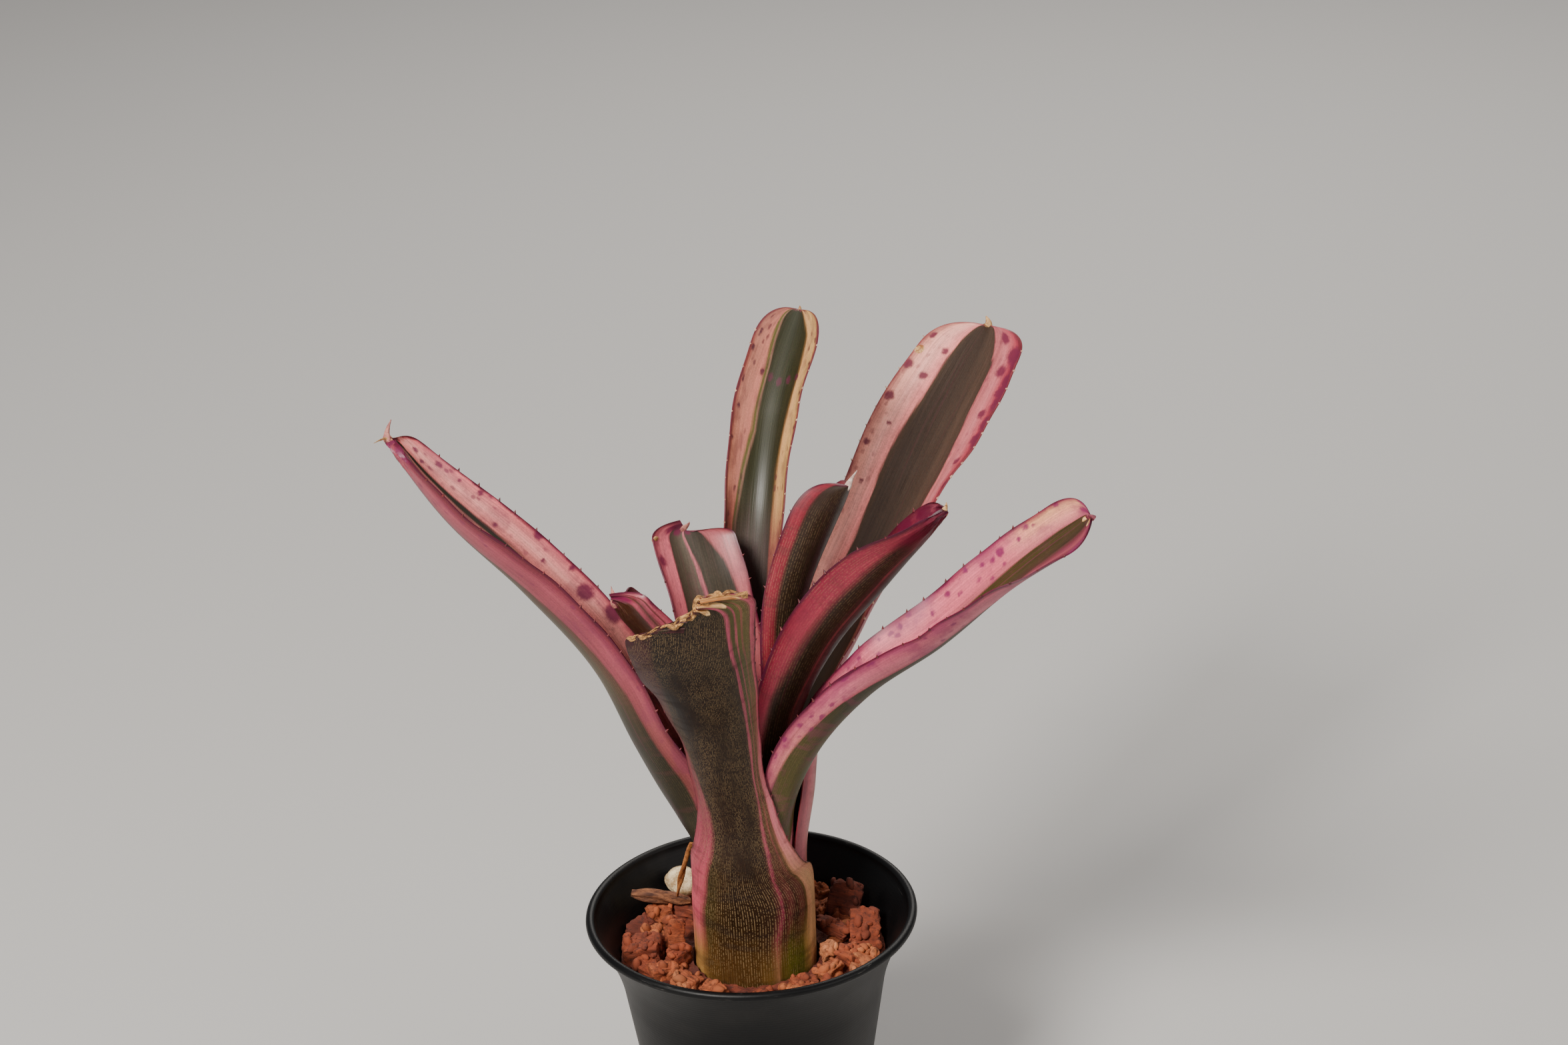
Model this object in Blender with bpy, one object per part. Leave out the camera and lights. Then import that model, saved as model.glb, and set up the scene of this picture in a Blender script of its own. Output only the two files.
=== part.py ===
"""A small variegated neoregelia in a flared black nursery pot of coconut-husk chips.

Units are metres, +Z is up.  The origin is the middle of the pot's flat foot, on the surface
it stands on.  The plant's sheath tube stands upright, PLANT_X to the right of the pot's axis,
and the leaves spread from it.  Azimuths are in degrees, counter-clockwise from +X seen from
above.
"""
import bmesh
import bpy
import math
import random

import numpy as np
from mathutils import Euler, Matrix, Vector

MM = 0.001

# ---- driving dimensions -------------------------------------------------------------------
POT_HEIGHT = 80 * MM
LIP_RADIUS = 45 * MM              # outside of the rolled lip
FOOT_RADIUS = 26.5 * MM           # outside of the flat foot
POT_WALL = 1.2 * MM
POT_FLOOR = 1.6 * MM
POT_SIDES = 44
DRAIN_HOLES = 6
DRAIN_RADIUS = 2.5 * MM
DRAIN_CIRCLE = 17 * MM

HUSK_LEVEL = 66.5 * MM            # top of the chips' bed, 13.5 mm below the lip
GAP = 0.3 * MM                    # air between pieces that touch
PLANT_X = 0.8 * MM                # the plant stands this far off the pot's axis
TUBE_RADIUS = 16.3 * MM           # middle of the outermost leaf sheath
SHEATH_FOOT = 60 * MM             # where the outermost sheath grows from the stem

LEAF_COLUMNS = 8                  # faces across a leaf
LEAF_ROW = 7.5 * MM               # length of a blade's rows of faces
COLUMN_STEPS = 8                  # steps in which a cross-section is summed over one column
CREASE_RUN = 22 * MM              # a blade's keel sharpens over this length above its sheath
CREASE_POWER = 2.2                # how closely a keel's bend keeps to the midrib
END_POWER = 2.6                   # how square a blade's end is; 2 would be round
END_ROWS = (0.55, 0.28, 0.10, 0.03)   # rows of the rounded end, as shares of it from the tip
TIP_POINT, TIP_LIFT = 2.2 * MM, 0.6 * MM   # the short point at a blade's end, and how it lifts
SPINE_LENGTH = 1.3 * MM
SPINE_BASE = 1.4 * MM
LEAF_THICKNESS = 0.9 * MM         # along the midrib
MARGIN_THICKNESS = 0.65 * MM


# ---- shared tools -------------------------------------------------------------------------
def clear_scene():
    """Start from nothing: no cube, lamp or camera."""
    for item in list(bpy.data.objects):
        bpy.data.objects.remove(item, do_unlink=True)


def finish(name, colour, roughness):
    """A plain non-metal finish for one piece."""
    material = bpy.data.materials.new(name)
    material.use_nodes = True
    shader = material.node_tree.nodes["Principled BSDF"]
    shader.inputs["Base Color"].default_value = (*colour, 1.0)
    shader.inputs["Roughness"].default_value = roughness
    shader.inputs["Metallic"].default_value = 0.0
    material.diffuse_color = (*colour, 1.0)
    return material


def place(name, mesh, material, smooth=True):
    """Put a finished mesh in the scene as one named piece."""
    mesh.name = name
    mesh.materials.append(material)
    piece = bpy.data.objects.new(name, mesh)
    bpy.context.scene.collection.objects.link(piece)
    if smooth:
        mesh.shade_smooth()
        mesh.set_sharp_from_angle(angle=math.radians(40))
    return piece


def mesh_from(points, faces):
    mesh = bpy.data.meshes.new("piece")
    mesh.from_pydata([tuple(p) for p in points], [], faces)
    mesh.update()
    return mesh


def turned(profile, sides):
    """A closed body turned about Z from (radius, height) points, its two ends on the axis."""
    points = [(0.0, 0.0, profile[0][1])]
    rings = []
    for radius, height in profile[1:-1]:
        rings.append(len(points))
        for step in range(sides):
            angle = 2 * math.pi * step / sides
            points.append((radius * math.cos(angle), radius * math.sin(angle), height))
    top = len(points)
    points.append((0.0, 0.0, profile[-1][1]))
    faces = []
    for step in range(sides):
        nxt = (step + 1) % sides
        faces.append((0, rings[0] + nxt, rings[0] + step))
        faces.append((top, rings[-1] + step, rings[-1] + nxt))
        for low, high in zip(rings, rings[1:]):
            faces.append((low + step, low + nxt, high + nxt, high + step))
    return mesh_from(points, faces)


def boolean(target, tools, operation, solver='EXACT'):
    """Join a piece with other objects, or cut it by them, at once; the tools are removed."""
    group = bpy.data.collections.new("tools")
    bpy.context.scene.collection.children.link(group)
    for tool in tools:
        group.objects.link(tool)
    modifier = target.modifiers.new(operation.lower(), 'BOOLEAN')
    modifier.operation = operation
    modifier.solver = solver
    modifier.operand_type = 'COLLECTION'
    modifier.collection = group
    graph = bpy.context.evaluated_depsgraph_get()
    result = bpy.data.meshes.new_from_object(target.evaluated_get(graph))
    target.modifiers.remove(modifier)
    target.data = result
    for tool in tools:
        bpy.data.objects.remove(tool, do_unlink=True)
    bpy.data.collections.remove(group)


# ---- the pot ------------------------------------------------------------------------------
# Outside of the wall, foot to lip: (radius, height).  The body tapers, then flares at the rim.
POT_OUTSIDE = [(FOOT_RADIUS, 0.0), (36.0 * MM, 61 * MM), (37.6 * MM, 66.5 * MM),
               (40.2 * MM, 72.5 * MM), (42.9 * MM, 77.2 * MM)]
POT_LIP = [(45.0 * MM, 77.7 * MM), (LIP_RADIUS, 79.2 * MM), (44.1 * MM, POT_HEIGHT),
           (43.0 * MM, 79.6 * MM)]


def wall_inside(height):
    """Inner radius of the pot wall at a height."""
    radii = [r - POT_WALL for r, _ in POT_OUTSIDE]
    heights = [z for _, z in POT_OUTSIDE]
    return float(np.interp(height, heights, radii))


def make_pot():
    inside = [(r - POT_WALL, z) for r, z in reversed(POT_OUTSIDE[1:])]
    inside.append((wall_inside(POT_FLOOR), POT_FLOOR))
    profile = [(0.0, 0.0)] + POT_OUTSIDE + POT_LIP + inside + [(0.0, POT_FLOOR)]
    pot = place("pot", turned(profile, POT_SIDES), finish("black plastic", (0.02, 0.02, 0.02), 0.45))
    cutters = []
    for step in range(DRAIN_HOLES):
        angle = 2 * math.pi * (step + 0.5) / DRAIN_HOLES
        bpy.ops.mesh.primitive_cylinder_add(
            vertices=10, radius=DRAIN_RADIUS, depth=3 * POT_FLOOR, rotation=(0, 0, angle),
            location=(DRAIN_CIRCLE * math.cos(angle), DRAIN_CIRCLE * math.sin(angle), POT_FLOOR / 2))
        cutters.append(bpy.context.active_object)
    boolean(pot, cutters, 'DIFFERENCE')


# ---- the stem that the leaves grow from -----------------------------------------------------
STEM_TOP = (3.0 * MM, 69 * MM)
STEM_SHOULDER = (TUBE_RADIUS + 0.6 * MM, SHEATH_FOOT - 0.7 * MM)
STEM_END = (12 * MM, 44 * MM)


def stem_surface(radius):
    """Height of the stem's conical top at a radius."""
    (r0, z0), (r1, z1) = STEM_TOP, STEM_SHOULDER
    return z0 + (z1 - z0) * max(0.0, radius - r0) / (r1 - r0)


def make_stem():
    profile = [(0.0, STEM_END[1]), STEM_END, (STEM_SHOULDER[0], STEM_SHOULDER[1] - 5 * MM),
               STEM_SHOULDER, STEM_TOP, (0.0, STEM_TOP[1])]
    stem = turned(profile, 20)
    stem.transform(Matrix.Translation((PLANT_X, 0.0, 0.0)))
    return place("stem", stem, finish("stem", (0.30, 0.22, 0.12), 0.8))


# ---- the bed of husk chips -------------------------------------------------------------------
PLANT_HOLE = 17.6 * MM            # radius of the plain hole that the plant stands in
HUSK_FOOT = POT_FLOOR + GAP

# Chips that stand out of the bed: centre, then length, width and thickness, in mm, then turns
# about X, Y and Z in degrees.
CHIPS = [
    ((-29.5, -1, 69), (13, 9, 8), (14, -10, -8)),         # ribbed block, left
    ((-21.5, 1.5, 70), (5.5, 6, 14), (-8, 8, 10)),        # upright, beside it
    ((-20, -4.5, 67.5), (7, 5, 9), (8, -12, 35)),
    ((-24.5, -10.5, 67.5), (9, 6, 4.5), (6, 8, 25)),
    ((-17.5, -15.5, 67), (8, 5, 4.5), (-4, 6, -40)),
    ((-31, 13, 67), (10, 7, 5), (0, -14, 40)),
    ((25.5, 16, 70.5), (10, 4, 13), (-22, 12, -8)),       # plank leaning back, right
    ((19.5, 24.5, 68.5), (4, 4, 6), (10, 5, 20)),
    ((30.5, 2, 69.5), (9, 16, 4), (34, 6, 4)),            # broad flat chip, right
    ((22.3, 4.5, 70), (11, 4.5, 3.5), (0, 10, -32)),      # lying across
    ((20.5, -6, 68.5), (4.5, 6, 5), (12, 0, 15)),
    ((26, -7.5, 67.8), (8, 7, 5), (8, 12, -15)),
    ((20.5, -13.5, 67.2), (8, 5, 4), (6, -6, 48)),
    ((13.5, -19.5, 67), (8, 5.5, 4), (5, 8, 20)),
    ((-25.2, 16.6, 68.9), (7, 6, 7), (4, -6, 20)),        # two that carry the splinter
    ((-18.6, 17.8, 68.0), (6.5, 5, 6.6), (-6, 4, -15)),
    ((-19.5, 25.6, 65.9), (8, 7, 5), (3, -4, 30)),        # one under the pebble
]
LOOSE_CHIPS = 20                  # the rest, drawn at random round the plant
CHIP_SEED = 11
CORNER_DRAWN_IN = (0.72, 0.72, 0.78)      # how far a chip's corner may draw in along X, Y and Z
LOOSE_REACH = (22, 33)            # from the pot's axis
LOOSE_HEIGHT = (65.8, 67.3)       # of a loose chip's middle
LOOSE_SIZE = ((7, 12), (5, 8), (3.5, 5.5))
LOOSE_LEAN = 18                   # most that it leans, either way


def chip(centre, size, turns, draw):
    """One husk chip: a rough block, its corners drawn in by random amounts."""
    corners = []
    for x in (-0.5, 0.5):
        for y in (-0.5, 0.5):
            for z in (-0.5, 0.5):
                corners.append(Vector([sign * length * draw.uniform(least, 1.0) for sign, length, least
                                       in zip((x, y, z), size, CORNER_DRAWN_IN)]) * MM)
    turn = Euler([math.radians(t) for t in turns]).to_matrix()
    body = bmesh.new()
    for corner in corners:
        body.verts.new(turn @ corner + Vector(centre) * MM)
    bmesh.ops.convex_hull(body, input=body.verts)
    mesh = bpy.data.meshes.new("chip")
    body.to_mesh(mesh)
    body.free()
    return bpy.data.objects.new("chip", mesh)


def make_husk_bed():
    """Packed chips as one body: a filled bed, the chips on its top, and the plant's hole."""
    wall = [(r - POT_WALL - GAP, z) for r, z in POT_OUTSIDE]
    foot = (wall_inside(HUSK_FOOT) - GAP, HUSK_FOOT)
    top = (wall_inside(HUSK_LEVEL) - GAP, HUSK_LEVEL)
    bed = place("husk_bed", turned([(0.0, HUSK_FOOT), foot, wall[1], top, (0.0, HUSK_LEVEL)],
                                   POT_SIDES), finish("coconut husk", (0.36, 0.13, 0.05), 0.9))
    draw = random.Random(CHIP_SEED)
    chips = [chip(centre, size, turns, draw) for centre, size, turns in CHIPS]
    for step in range(LOOSE_CHIPS):
        angle = 2 * math.pi * (step + draw.uniform(0.1, 0.9)) / LOOSE_CHIPS
        reach = draw.uniform(*LOOSE_REACH)
        centre = (reach * math.cos(angle), reach * math.sin(angle), draw.uniform(*LOOSE_HEIGHT))
        size = [draw.uniform(*limits) for limits in LOOSE_SIZE]
        turns = [draw.uniform(-LOOSE_LEAN, LOOSE_LEAN) for _ in "XY"] + [draw.uniform(0, 180)]
        chips.append(chip(centre, size, turns, draw))
    boolean(bed, chips, 'UNION', 'MANIFOLD')
    below = HUSK_FOOT - GAP
    envelope = ([(0.0, below), (foot[0], below)] + wall[1:]
                + [(wall[-1][0], POT_HEIGHT), (0.0, POT_HEIGHT)])
    inside = bpy.data.objects.new("inside", turned(envelope, POT_SIDES))
    boolean(bed, [inside], 'INTERSECT', 'MANIFOLD')
    hole = STEM_END[1] - GAP
    bpy.ops.mesh.primitive_cylinder_add(vertices=40, radius=PLANT_HOLE, depth=POT_HEIGHT,
                                        location=(PLANT_X, 0, hole + POT_HEIGHT / 2))
    boolean(bed, [bpy.context.active_object], 'DIFFERENCE', 'MANIFOLD')
    bed.data.shade_flat()


# ---- loose pieces lying on the chips ----------------------------------------------------------
PEBBLE_AT = (-19.2 * MM, 26 * MM)
PEBBLE_SIZE = (9.6 * MM, 9 * MM, 8.2 * MM)
PEBBLE_Z = 74.2 * MM              # its middle; it lies on the chips' tops

# Sides of a stick or strand as (x, y, z, radius), in mm.
SPLINTER = [(-33, 16.8, 76.4, 0.9), (-30, 16.9, 75.6, 1.6), (-24, 17.6, 74.2, 1.7),
            (-18.6, 18.2, 72.6, 1.2), (-17, 18.4, 72.2, 0.7)]
STRAND = [(-14.9, 3.1, 99, 0.7), (-16.3, 5.4, 95, 0.9), (-18.1, 8.6, 88, 0.8),
          (-19.6, 12.4, 80.6, 0.55), (-20.2, 15, 76.8, 0.45), (-20.5, 17.1, 74.6, 0.4)]


def rod(name, stations, sides, material):
    """A closed stick through (x, y, z, radius) stations in mm."""
    centres = [Vector(s[:3]) * MM for s in stations]
    points, faces = [], []
    for i, centre in enumerate(centres):
        ahead = centres[min(i + 1, len(centres) - 1)] - centres[max(i - 1, 0)]
        across = ahead.cross(Vector((0, 1, 0.3))).normalized()
        other = ahead.cross(across).normalized()
        for step in range(sides):
            angle = 2 * math.pi * step / sides
            reach = across * math.cos(angle) + other * math.sin(angle)
            points.append(centre + reach * stations[i][3] * MM)
    for i in range(len(centres) - 1):
        for step in range(sides):
            a, b = i * sides + step, i * sides + (step + 1) % sides
            faces.append((a, b, b + sides, a + sides))
    last = (len(centres) - 1) * sides
    faces.append(tuple(reversed(range(sides))))
    faces.append(tuple(range(last, last + sides)))
    return place(name, mesh_from(points, faces), material)


def make_debris():
    x, y = PEBBLE_AT
    bpy.ops.mesh.primitive_uv_sphere_add(segments=14, ring_count=8, radius=0.5)
    ball = bpy.context.active_object
    mesh = ball.data
    mesh.transform(Matrix.Translation((x, y, PEBBLE_Z)) @ Matrix.Diagonal((*PEBBLE_SIZE, 1)))
    bpy.data.objects.remove(ball, do_unlink=True)
    place("pebble", mesh, finish("pebble", (0.75, 0.66, 0.48), 0.7))
    rod("splinter", SPLINTER, 7, finish("splinter", (0.24, 0.12, 0.06), 0.85))
    rod("dry_strand", STRAND, 7, finish("dry strand", (0.36, 0.19, 0.09), 0.8))


# ---- leaves -------------------------------------------------------------------------------
# Each leaf: the sheath as two rows (reach, azimuth, height, wrap to each side, roll), where the
# first height is measured up from the stem; then the blade as rows (reach of the midrib from
# the plant's axis, its azimuth, its height, half width measured along the leaf, fold to each
# side, roll).  `tip` is how far back the end starts to round, `vee` how sharply the channel is
# creased, `slant` how much further the end reaches on one side.  Lengths in mm, angles in degrees.
LEAVES = {
    "leaf_front": dict(
        sheath=[(16.3, 264, 0, 100, 0), (16.4, 263, 88, 98, 0)],
        blade=[(16.5, 259, 96, 21.5, 75, 0), (17.0, 259, 103, 16.8, 57, 0),
               (17.2, 258, 110, 13.3, 48, 1),
               (19.3, 255, 121, 12, 60, 5), (22.5, 254, 132, 12, 66, 10),
               (26.5, 254, 146, 13.5, 57, 14), (34, 254, 161, 15, 44, 16),
               (42, 254, 176, 16.5, 30, 17), (47, 256, 193, 17, 20, 18)],
        tip=6, vee=0.0, slant=6.0, colour=(0.30, 0.20, 0.16)),
    "leaf_left": dict(
        sheath=[(14.7, 182, 0, 72, 0), (14.6, 182, 92, 70, 0)],
        blade=[(14.9, 183, 101, 17.8, 70, 0), (18.8, 184, 110, 16.5, 80, 0),
               (24, 186, 121, 17, 92, -2),
               (29.5, 187, 134, 16.5, 80, -5), (38.5, 188, 157, 16.5, 78, -8),
               (56, 190, 183, 16, 76, -7), (75, 190, 207, 13, 62, -12),
               (87.8, 188, 227.5, 7, 48, -10)],
        tip=9, vee=0.6, slant=0, colour=(0.62, 0.33, 0.36)),
    "leaf_right": dict(
        sheath=[(14.8, 294, 18, 21, 0), (14.8, 295, 98, 21, 0)],
        blade=[(15.0, 303, 107, 9, 46, 8), (15.4, 316, 117, 10, 60, 8),
               (20.5, 329, 131, 13.5, 72, 5), (36, 339, 151, 14.5, 71, 1),
               (53.5, 346, 164, 15, 63, 4), (72, 347, 182, 15, 45, 8),
               (93, 348, 200, 14, 20, 16)],
        tip=14, vee=0.6, slant=0, colour=(0.60, 0.32, 0.36)),
    "leaf_back_right": dict(
        sheath=[(14.1, 41, 0, 87, 4), (14.1, 36, 100, 80, 4)],
        blade=[(17.4, 38, 113, 20.3, 82, 2), (23.7, 52, 127, 19.4, 73, -6),
               (48, 56, 144, 17, 60, -11), (77, 57, 163, 17.5, 47, -8),
               (106, 58, 181, 18.5, 31, 0), (138.5, 58, 200, 15.5, 13, -2)],
        tip=14, vee=0.0, slant=0, colour=(0.66, 0.38, 0.40)),
    "leaf_back": dict(
        sheath=[(11.8, 86, 0, 90, 0), (11.8, 86, 102, 76, 0)],
        blade=[(13.5, 83, 118, 10, 47, 0), (16.3, 84, 136, 10.5, 56, 0),
               (21.3, 82, 156, 10.5, 66, -1), (32, 79, 186, 11, 77, -2),
               (49, 78, 206, 11, 61, -2), (69.5, 74, 227, 10, 47, -2)],
        tip=14, vee=0.0, slant=0, colour=(0.36, 0.34, 0.24)),
    "leaf_inner_left": dict(
        sheath=[(10.4, 190, 0, 100, 0), (10.4, 190, 104, 90, 0)],
        blade=[(12, 190, 121, 15, 80, 0), (15, 190, 138, 14.5, 80, 3),
               (19.5, 191, 152, 14.5, 80, 6), (26.5, 192, 165, 14.5, 76, 9),
               (34.8, 193, 177.2, 13.5, 62, 11)],
        tip=7, vee=0.3, slant=3.0, colour=(0.42, 0.22, 0.20)),
    "leaf_inner_right": dict(
        sheath=[(9.0, 0, 0, 105, 0), (9.0, 0, 104, 95, 0)],
        blade=[(10, -1, 121, 15.4, 92, -2), (14.7, -4, 140, 16, 85, -12),
               (24, -6, 159, 17.5, 82, -23), (38, -6, 177, 17, 77, -26),
               (55.5, -6, 197.6, 9.5, 55, -2)],
        tip=13, vee=0.3, slant=0, colour=(0.50, 0.22, 0.26)),
    "leaf_inner_back_right": dict(
        sheath=[(7.7, 20, 0, 115, 0), (7.7, 20, 106, 108, 0)],
        blade=[(9, 20, 126, 11.2, 76, 0), (12.7, 19, 148, 13, 78, -14),
               (18, 18, 170, 14, 82, -34), (31, 17, 200, 14, 71, -50)],
        tip=14, vee=0.3, slant=0, colour=(0.46, 0.20, 0.22)),
    "leaf_inner_back_left": dict(
        sheath=[(6.4, 135, 0, 125, 0), (6.4, 135, 112, 118, 0)],
        blade=[(7, 136, 130, 10.5, 86, 0), (10.2, 134, 150, 13.5, 66, -8),
               (16, 129, 170, 13.5, 50, -10), (24.5, 124, 185, 12.6, 38, -6)],
        tip=6, vee=0.0, slant=2, colour=(0.40, 0.30, 0.28)),
    "leaf_heart": dict(
        sheath=[(5.0, 250, 0, 130, 0), (5.0, 250, 100, 125, 0)],
        blade=[(5.2, 250, 115, 9.5, 110, 0), (5.8, 250, 130, 7, 80, 0)],
        tip=12, vee=0.0, slant=0, colour=(0.45, 0.40, 0.25)),
}


def through(knots, rows, at):
    """A smooth curve through rows of values at uneven knots, read at the places `at`."""
    slope = np.empty_like(rows)
    step = np.diff(knots)
    chord = np.diff(rows, axis=0) / step[:, None]
    slope[0], slope[-1] = chord[0], chord[-1]
    before, after = step[:-1, None], step[1:, None]
    slope[1:-1] = (chord[:-1] * after + chord[1:] * before) / (before + after)
    cell = np.clip(np.searchsorted(knots, at, side="right") - 1, 0, len(knots) - 2)
    width = step[cell][:, None]
    x = ((at - knots[cell]) / step[cell])[:, None]
    return ((2 * x**3 - 3 * x**2 + 1) * rows[cell] + (x**3 - 2 * x**2 + x) * width * slope[cell]
            + (3 * x**2 - 2 * x**3) * rows[cell + 1] + (x**3 - x**2) * width * slope[cell + 1])


def leaf_rows(leaf):
    """Every row of a leaf in metres and degrees, the sheath's three and then the blade's."""
    low, high = [(reach, azimuth, height, reach * math.radians(wrap), wrap, roll)
                 for reach, azimuth, height, wrap, roll in leaf["sheath"]]
    middle = tuple((a + b) / 2 for a, b in zip(low, high))
    rows = np.array([low, middle, high] + leaf["blade"], float)
    rows[:, [0, 2, 3]] *= MM
    foot = stem_surface(rows[0, 0] - 1.6 * MM) + GAP
    rows[0, 2] += foot
    rows[1, 2] = (rows[0, 2] + rows[2, 2]) / 2
    return rows


def leaf_surface(leaf, along, columns):
    """Middle surface of a leaf: points, and unit normals that face the plant's axis."""
    rows = leaf_rows(leaf)
    azimuth = np.radians(rows[:, 1])
    rib = np.stack([PLANT_X + rows[:, 0] * np.cos(azimuth), rows[:, 0] * np.sin(azimuth),
                    rows[:, 2]], 1)
    knots = np.concatenate([[0.0], np.cumsum(np.linalg.norm(np.diff(rib, axis=0), axis=1))])
    length = knots[-1]
    at = along(knots)
    centre = through(knots, rib, at)
    shape = through(knots, rows[:, [1, 3, 4, 5]], at)
    heading, half, fold, roll = shape.T
    nudge = 0.001 * length
    forward = (through(knots, rib, np.minimum(at + nudge, length))
               - through(knots, rib, np.maximum(at - nudge, 0.0)))
    forward /= np.linalg.norm(forward, axis=1)[:, None]
    heading, fold, roll = np.radians(heading), np.radians(fold), np.radians(roll)
    side = np.stack([-np.sin(heading), np.cos(heading), np.zeros_like(heading)], 1)
    side -= (side * forward).sum(1)[:, None] * forward
    side /= np.linalg.norm(side, axis=1)[:, None]
    up = np.cross(forward, side)
    turn = roll[:, None]
    side, up = side * np.cos(turn) + up * np.sin(turn), up * np.cos(turn) - side * np.sin(turn)
    tip = leaf["tip"] * MM
    near_end = np.clip((length - at) / tip, 0.0, 1.0)
    half = half * (1 - (1 - near_end) ** END_POWER) ** (1 / END_POWER)

    fine = COLUMN_STEPS
    half_columns = columns // 2
    share = np.linspace(0.0, 1.0, half_columns * fine + 1)
    crease = leaf["vee"] * np.clip((at - knots[2]) / CREASE_RUN, 0.0, 1.0)
    points = np.zeros((len(at), columns + 1, 3))
    normals = np.zeros_like(points)
    for i in range(len(at)):
        bend = (1 - crease[i]) * share + crease[i] * (1 - (1 - share) ** CREASE_POWER)
        angle = fold[i] * bend
        step = half[i] / (half_columns * fine)
        out = np.concatenate([[0.0], np.cumsum((np.cos(angle[1:]) + np.cos(angle[:-1])) / 2 * step)])
        rise = np.concatenate([[0.0], np.cumsum((np.sin(angle[1:]) + np.sin(angle[:-1])) / 2 * step)])
        for sign in (-1, 1):
            column = half_columns + sign * np.arange(half_columns + 1)
            points[i, column] = (centre[i] + sign * out[::fine, None] * side[i]
                                 + rise[::fine, None] * up[i])
            normals[i, column] = (np.cos(angle[::fine, None]) * up[i]
                                  - sign * np.sin(angle[::fine, None]) * side[i])
    across = np.linspace(-1, 1, columns + 1)
    slant = leaf["slant"] * MM * (across - 0.5) * (np.clip(at / length, 0, 1) ** 5)[:, None]
    points += forward[:, None, :] * slant[:, :, None]
    return points, normals, at


def row_places(leaf):
    """Where along a leaf its rows of faces lie: sparse on the sheath, close on the blade."""
    def along(knots):
        length, sheath_top = knots[-1], knots[2]
        tip = leaf["tip"] * MM
        blade_rows = max(6, round((length - tip - sheath_top) / LEAF_ROW))
        return np.concatenate([
            [0.0, 0.5 * sheath_top],
            np.linspace(sheath_top, length - tip, blade_rows + 1),
            length - tip * np.array(END_ROWS)])
    return along


def make_leaf(name, leaf):
    columns = LEAF_COLUMNS
    points, normals, at = leaf_surface(leaf, row_places(leaf), columns)
    count = len(at)
    across = np.abs(np.linspace(-1, 1, columns + 1))
    thick = MARGIN_THICKNESS + (LEAF_THICKNESS - MARGIN_THICKNESS) * (1 - across**2)
    outer = points - normals * thick[None, :, None] / 2
    inner = points + normals * thick[None, :, None] / 2
    vertices = [tuple(p) for p in outer.reshape(-1, 3)] + [tuple(p) for p in inner.reshape(-1, 3)]
    shift = count * (columns + 1)

    def o(i, j):
        return i * (columns + 1) + j

    def n(i, j):
        return shift + o(i, j)

    faces = []
    spine_from = 3
    for i in range(count - 1):
        spined = spine_from <= i < count - 3
        for j in range(columns):
            edge = -1 if j == 0 else 1 if j == columns - 1 else 0
            if spined and edge:
                continue
            faces.append((o(i, j), o(i, j + 1), o(i + 1, j + 1)))
            faces.append((o(i, j), o(i + 1, j + 1), o(i + 1, j)))
            faces.append((n(i, j), n(i + 1, j + 1), n(i, j + 1)))
            faces.append((n(i, j), n(i + 1, j), n(i + 1, j + 1)))
        for edge, rim, inboard in ((-1, 0, 1), (1, columns, columns - 1)):
            if spined:
                add_spine(vertices, faces, points, normals, thick, o, n, i, rim, inboard, edge)
            else:
                close_margin(faces, o, n, i, rim, edge)
    for j in range(columns):
        faces.append((o(0, j), n(0, j), n(0, j + 1)))
        faces.append((o(0, j), n(0, j + 1), o(0, j + 1)))
    add_tip(vertices, faces, points, normals, o, n, count - 1, columns)
    mesh = mesh_from(vertices, faces)
    return place(name, mesh, finish(name, leaf["colour"], 0.4))


def close_margin(faces, o, n, i, rim, edge):
    """The strip between a leaf's two faces along one row of a margin."""
    strip = [(o(i, rim), o(i + 1, rim), n(i + 1, rim)), (o(i, rim), n(i + 1, rim), n(i, rim))]
    faces.extend(strip if edge < 0 else [tuple(reversed(f)) for f in strip])


def add_spine(vertices, faces, points, normals, thick, o, n, i, rim, inboard, edge):
    """One marginal spine, raised from the margin between two rows of a leaf."""
    low, high = points[i, rim], points[i + 1, rim]
    span = high - low
    length = np.linalg.norm(span)
    forward = span / length
    out = points[i, rim] + points[i + 1, rim] - points[i, inboard] - points[i + 1, inboard]
    out -= (out @ forward) * forward
    out /= np.linalg.norm(out)
    face = normals[i, rim] + normals[i + 1, rim]
    face /= np.linalg.norm(face)
    first = 0.5 - SPINE_BASE / (2 * length)
    last = 0.5 + SPINE_BASE / (2 * length)
    base = len(vertices)
    half = face * thick[rim] / 2
    for share in (first, last):
        vertices.append(tuple(low + span * share - half))
        vertices.append(tuple(low + span * share + half))
    vertices.append(tuple(low + span * 0.5 + (out + 0.45 * forward) * SPINE_LENGTH))
    of, nf, ol, nl, apex = range(base, base + 5)
    face_set = [
        (o(i, inboard), o(i, rim), of), (o(i, inboard), of, ol),
        (o(i, inboard), ol, o(i + 1, inboard)), (o(i + 1, inboard), ol, o(i + 1, rim)),
        (n(i, inboard), nf, n(i, rim)), (n(i, inboard), nl, nf),
        (n(i, inboard), n(i + 1, inboard), nl), (n(i + 1, inboard), n(i + 1, rim), nl),
        (o(i, rim), n(i, rim), nf), (o(i, rim), nf, of),
        (ol, nl, n(i + 1, rim)), (ol, n(i + 1, rim), o(i + 1, rim)),
        (of, nf, apex), (nf, nl, apex), (nl, ol, apex), (ol, of, apex)]
    faces.extend(face_set if edge > 0 else [tuple(reversed(f)) for f in face_set])


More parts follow.
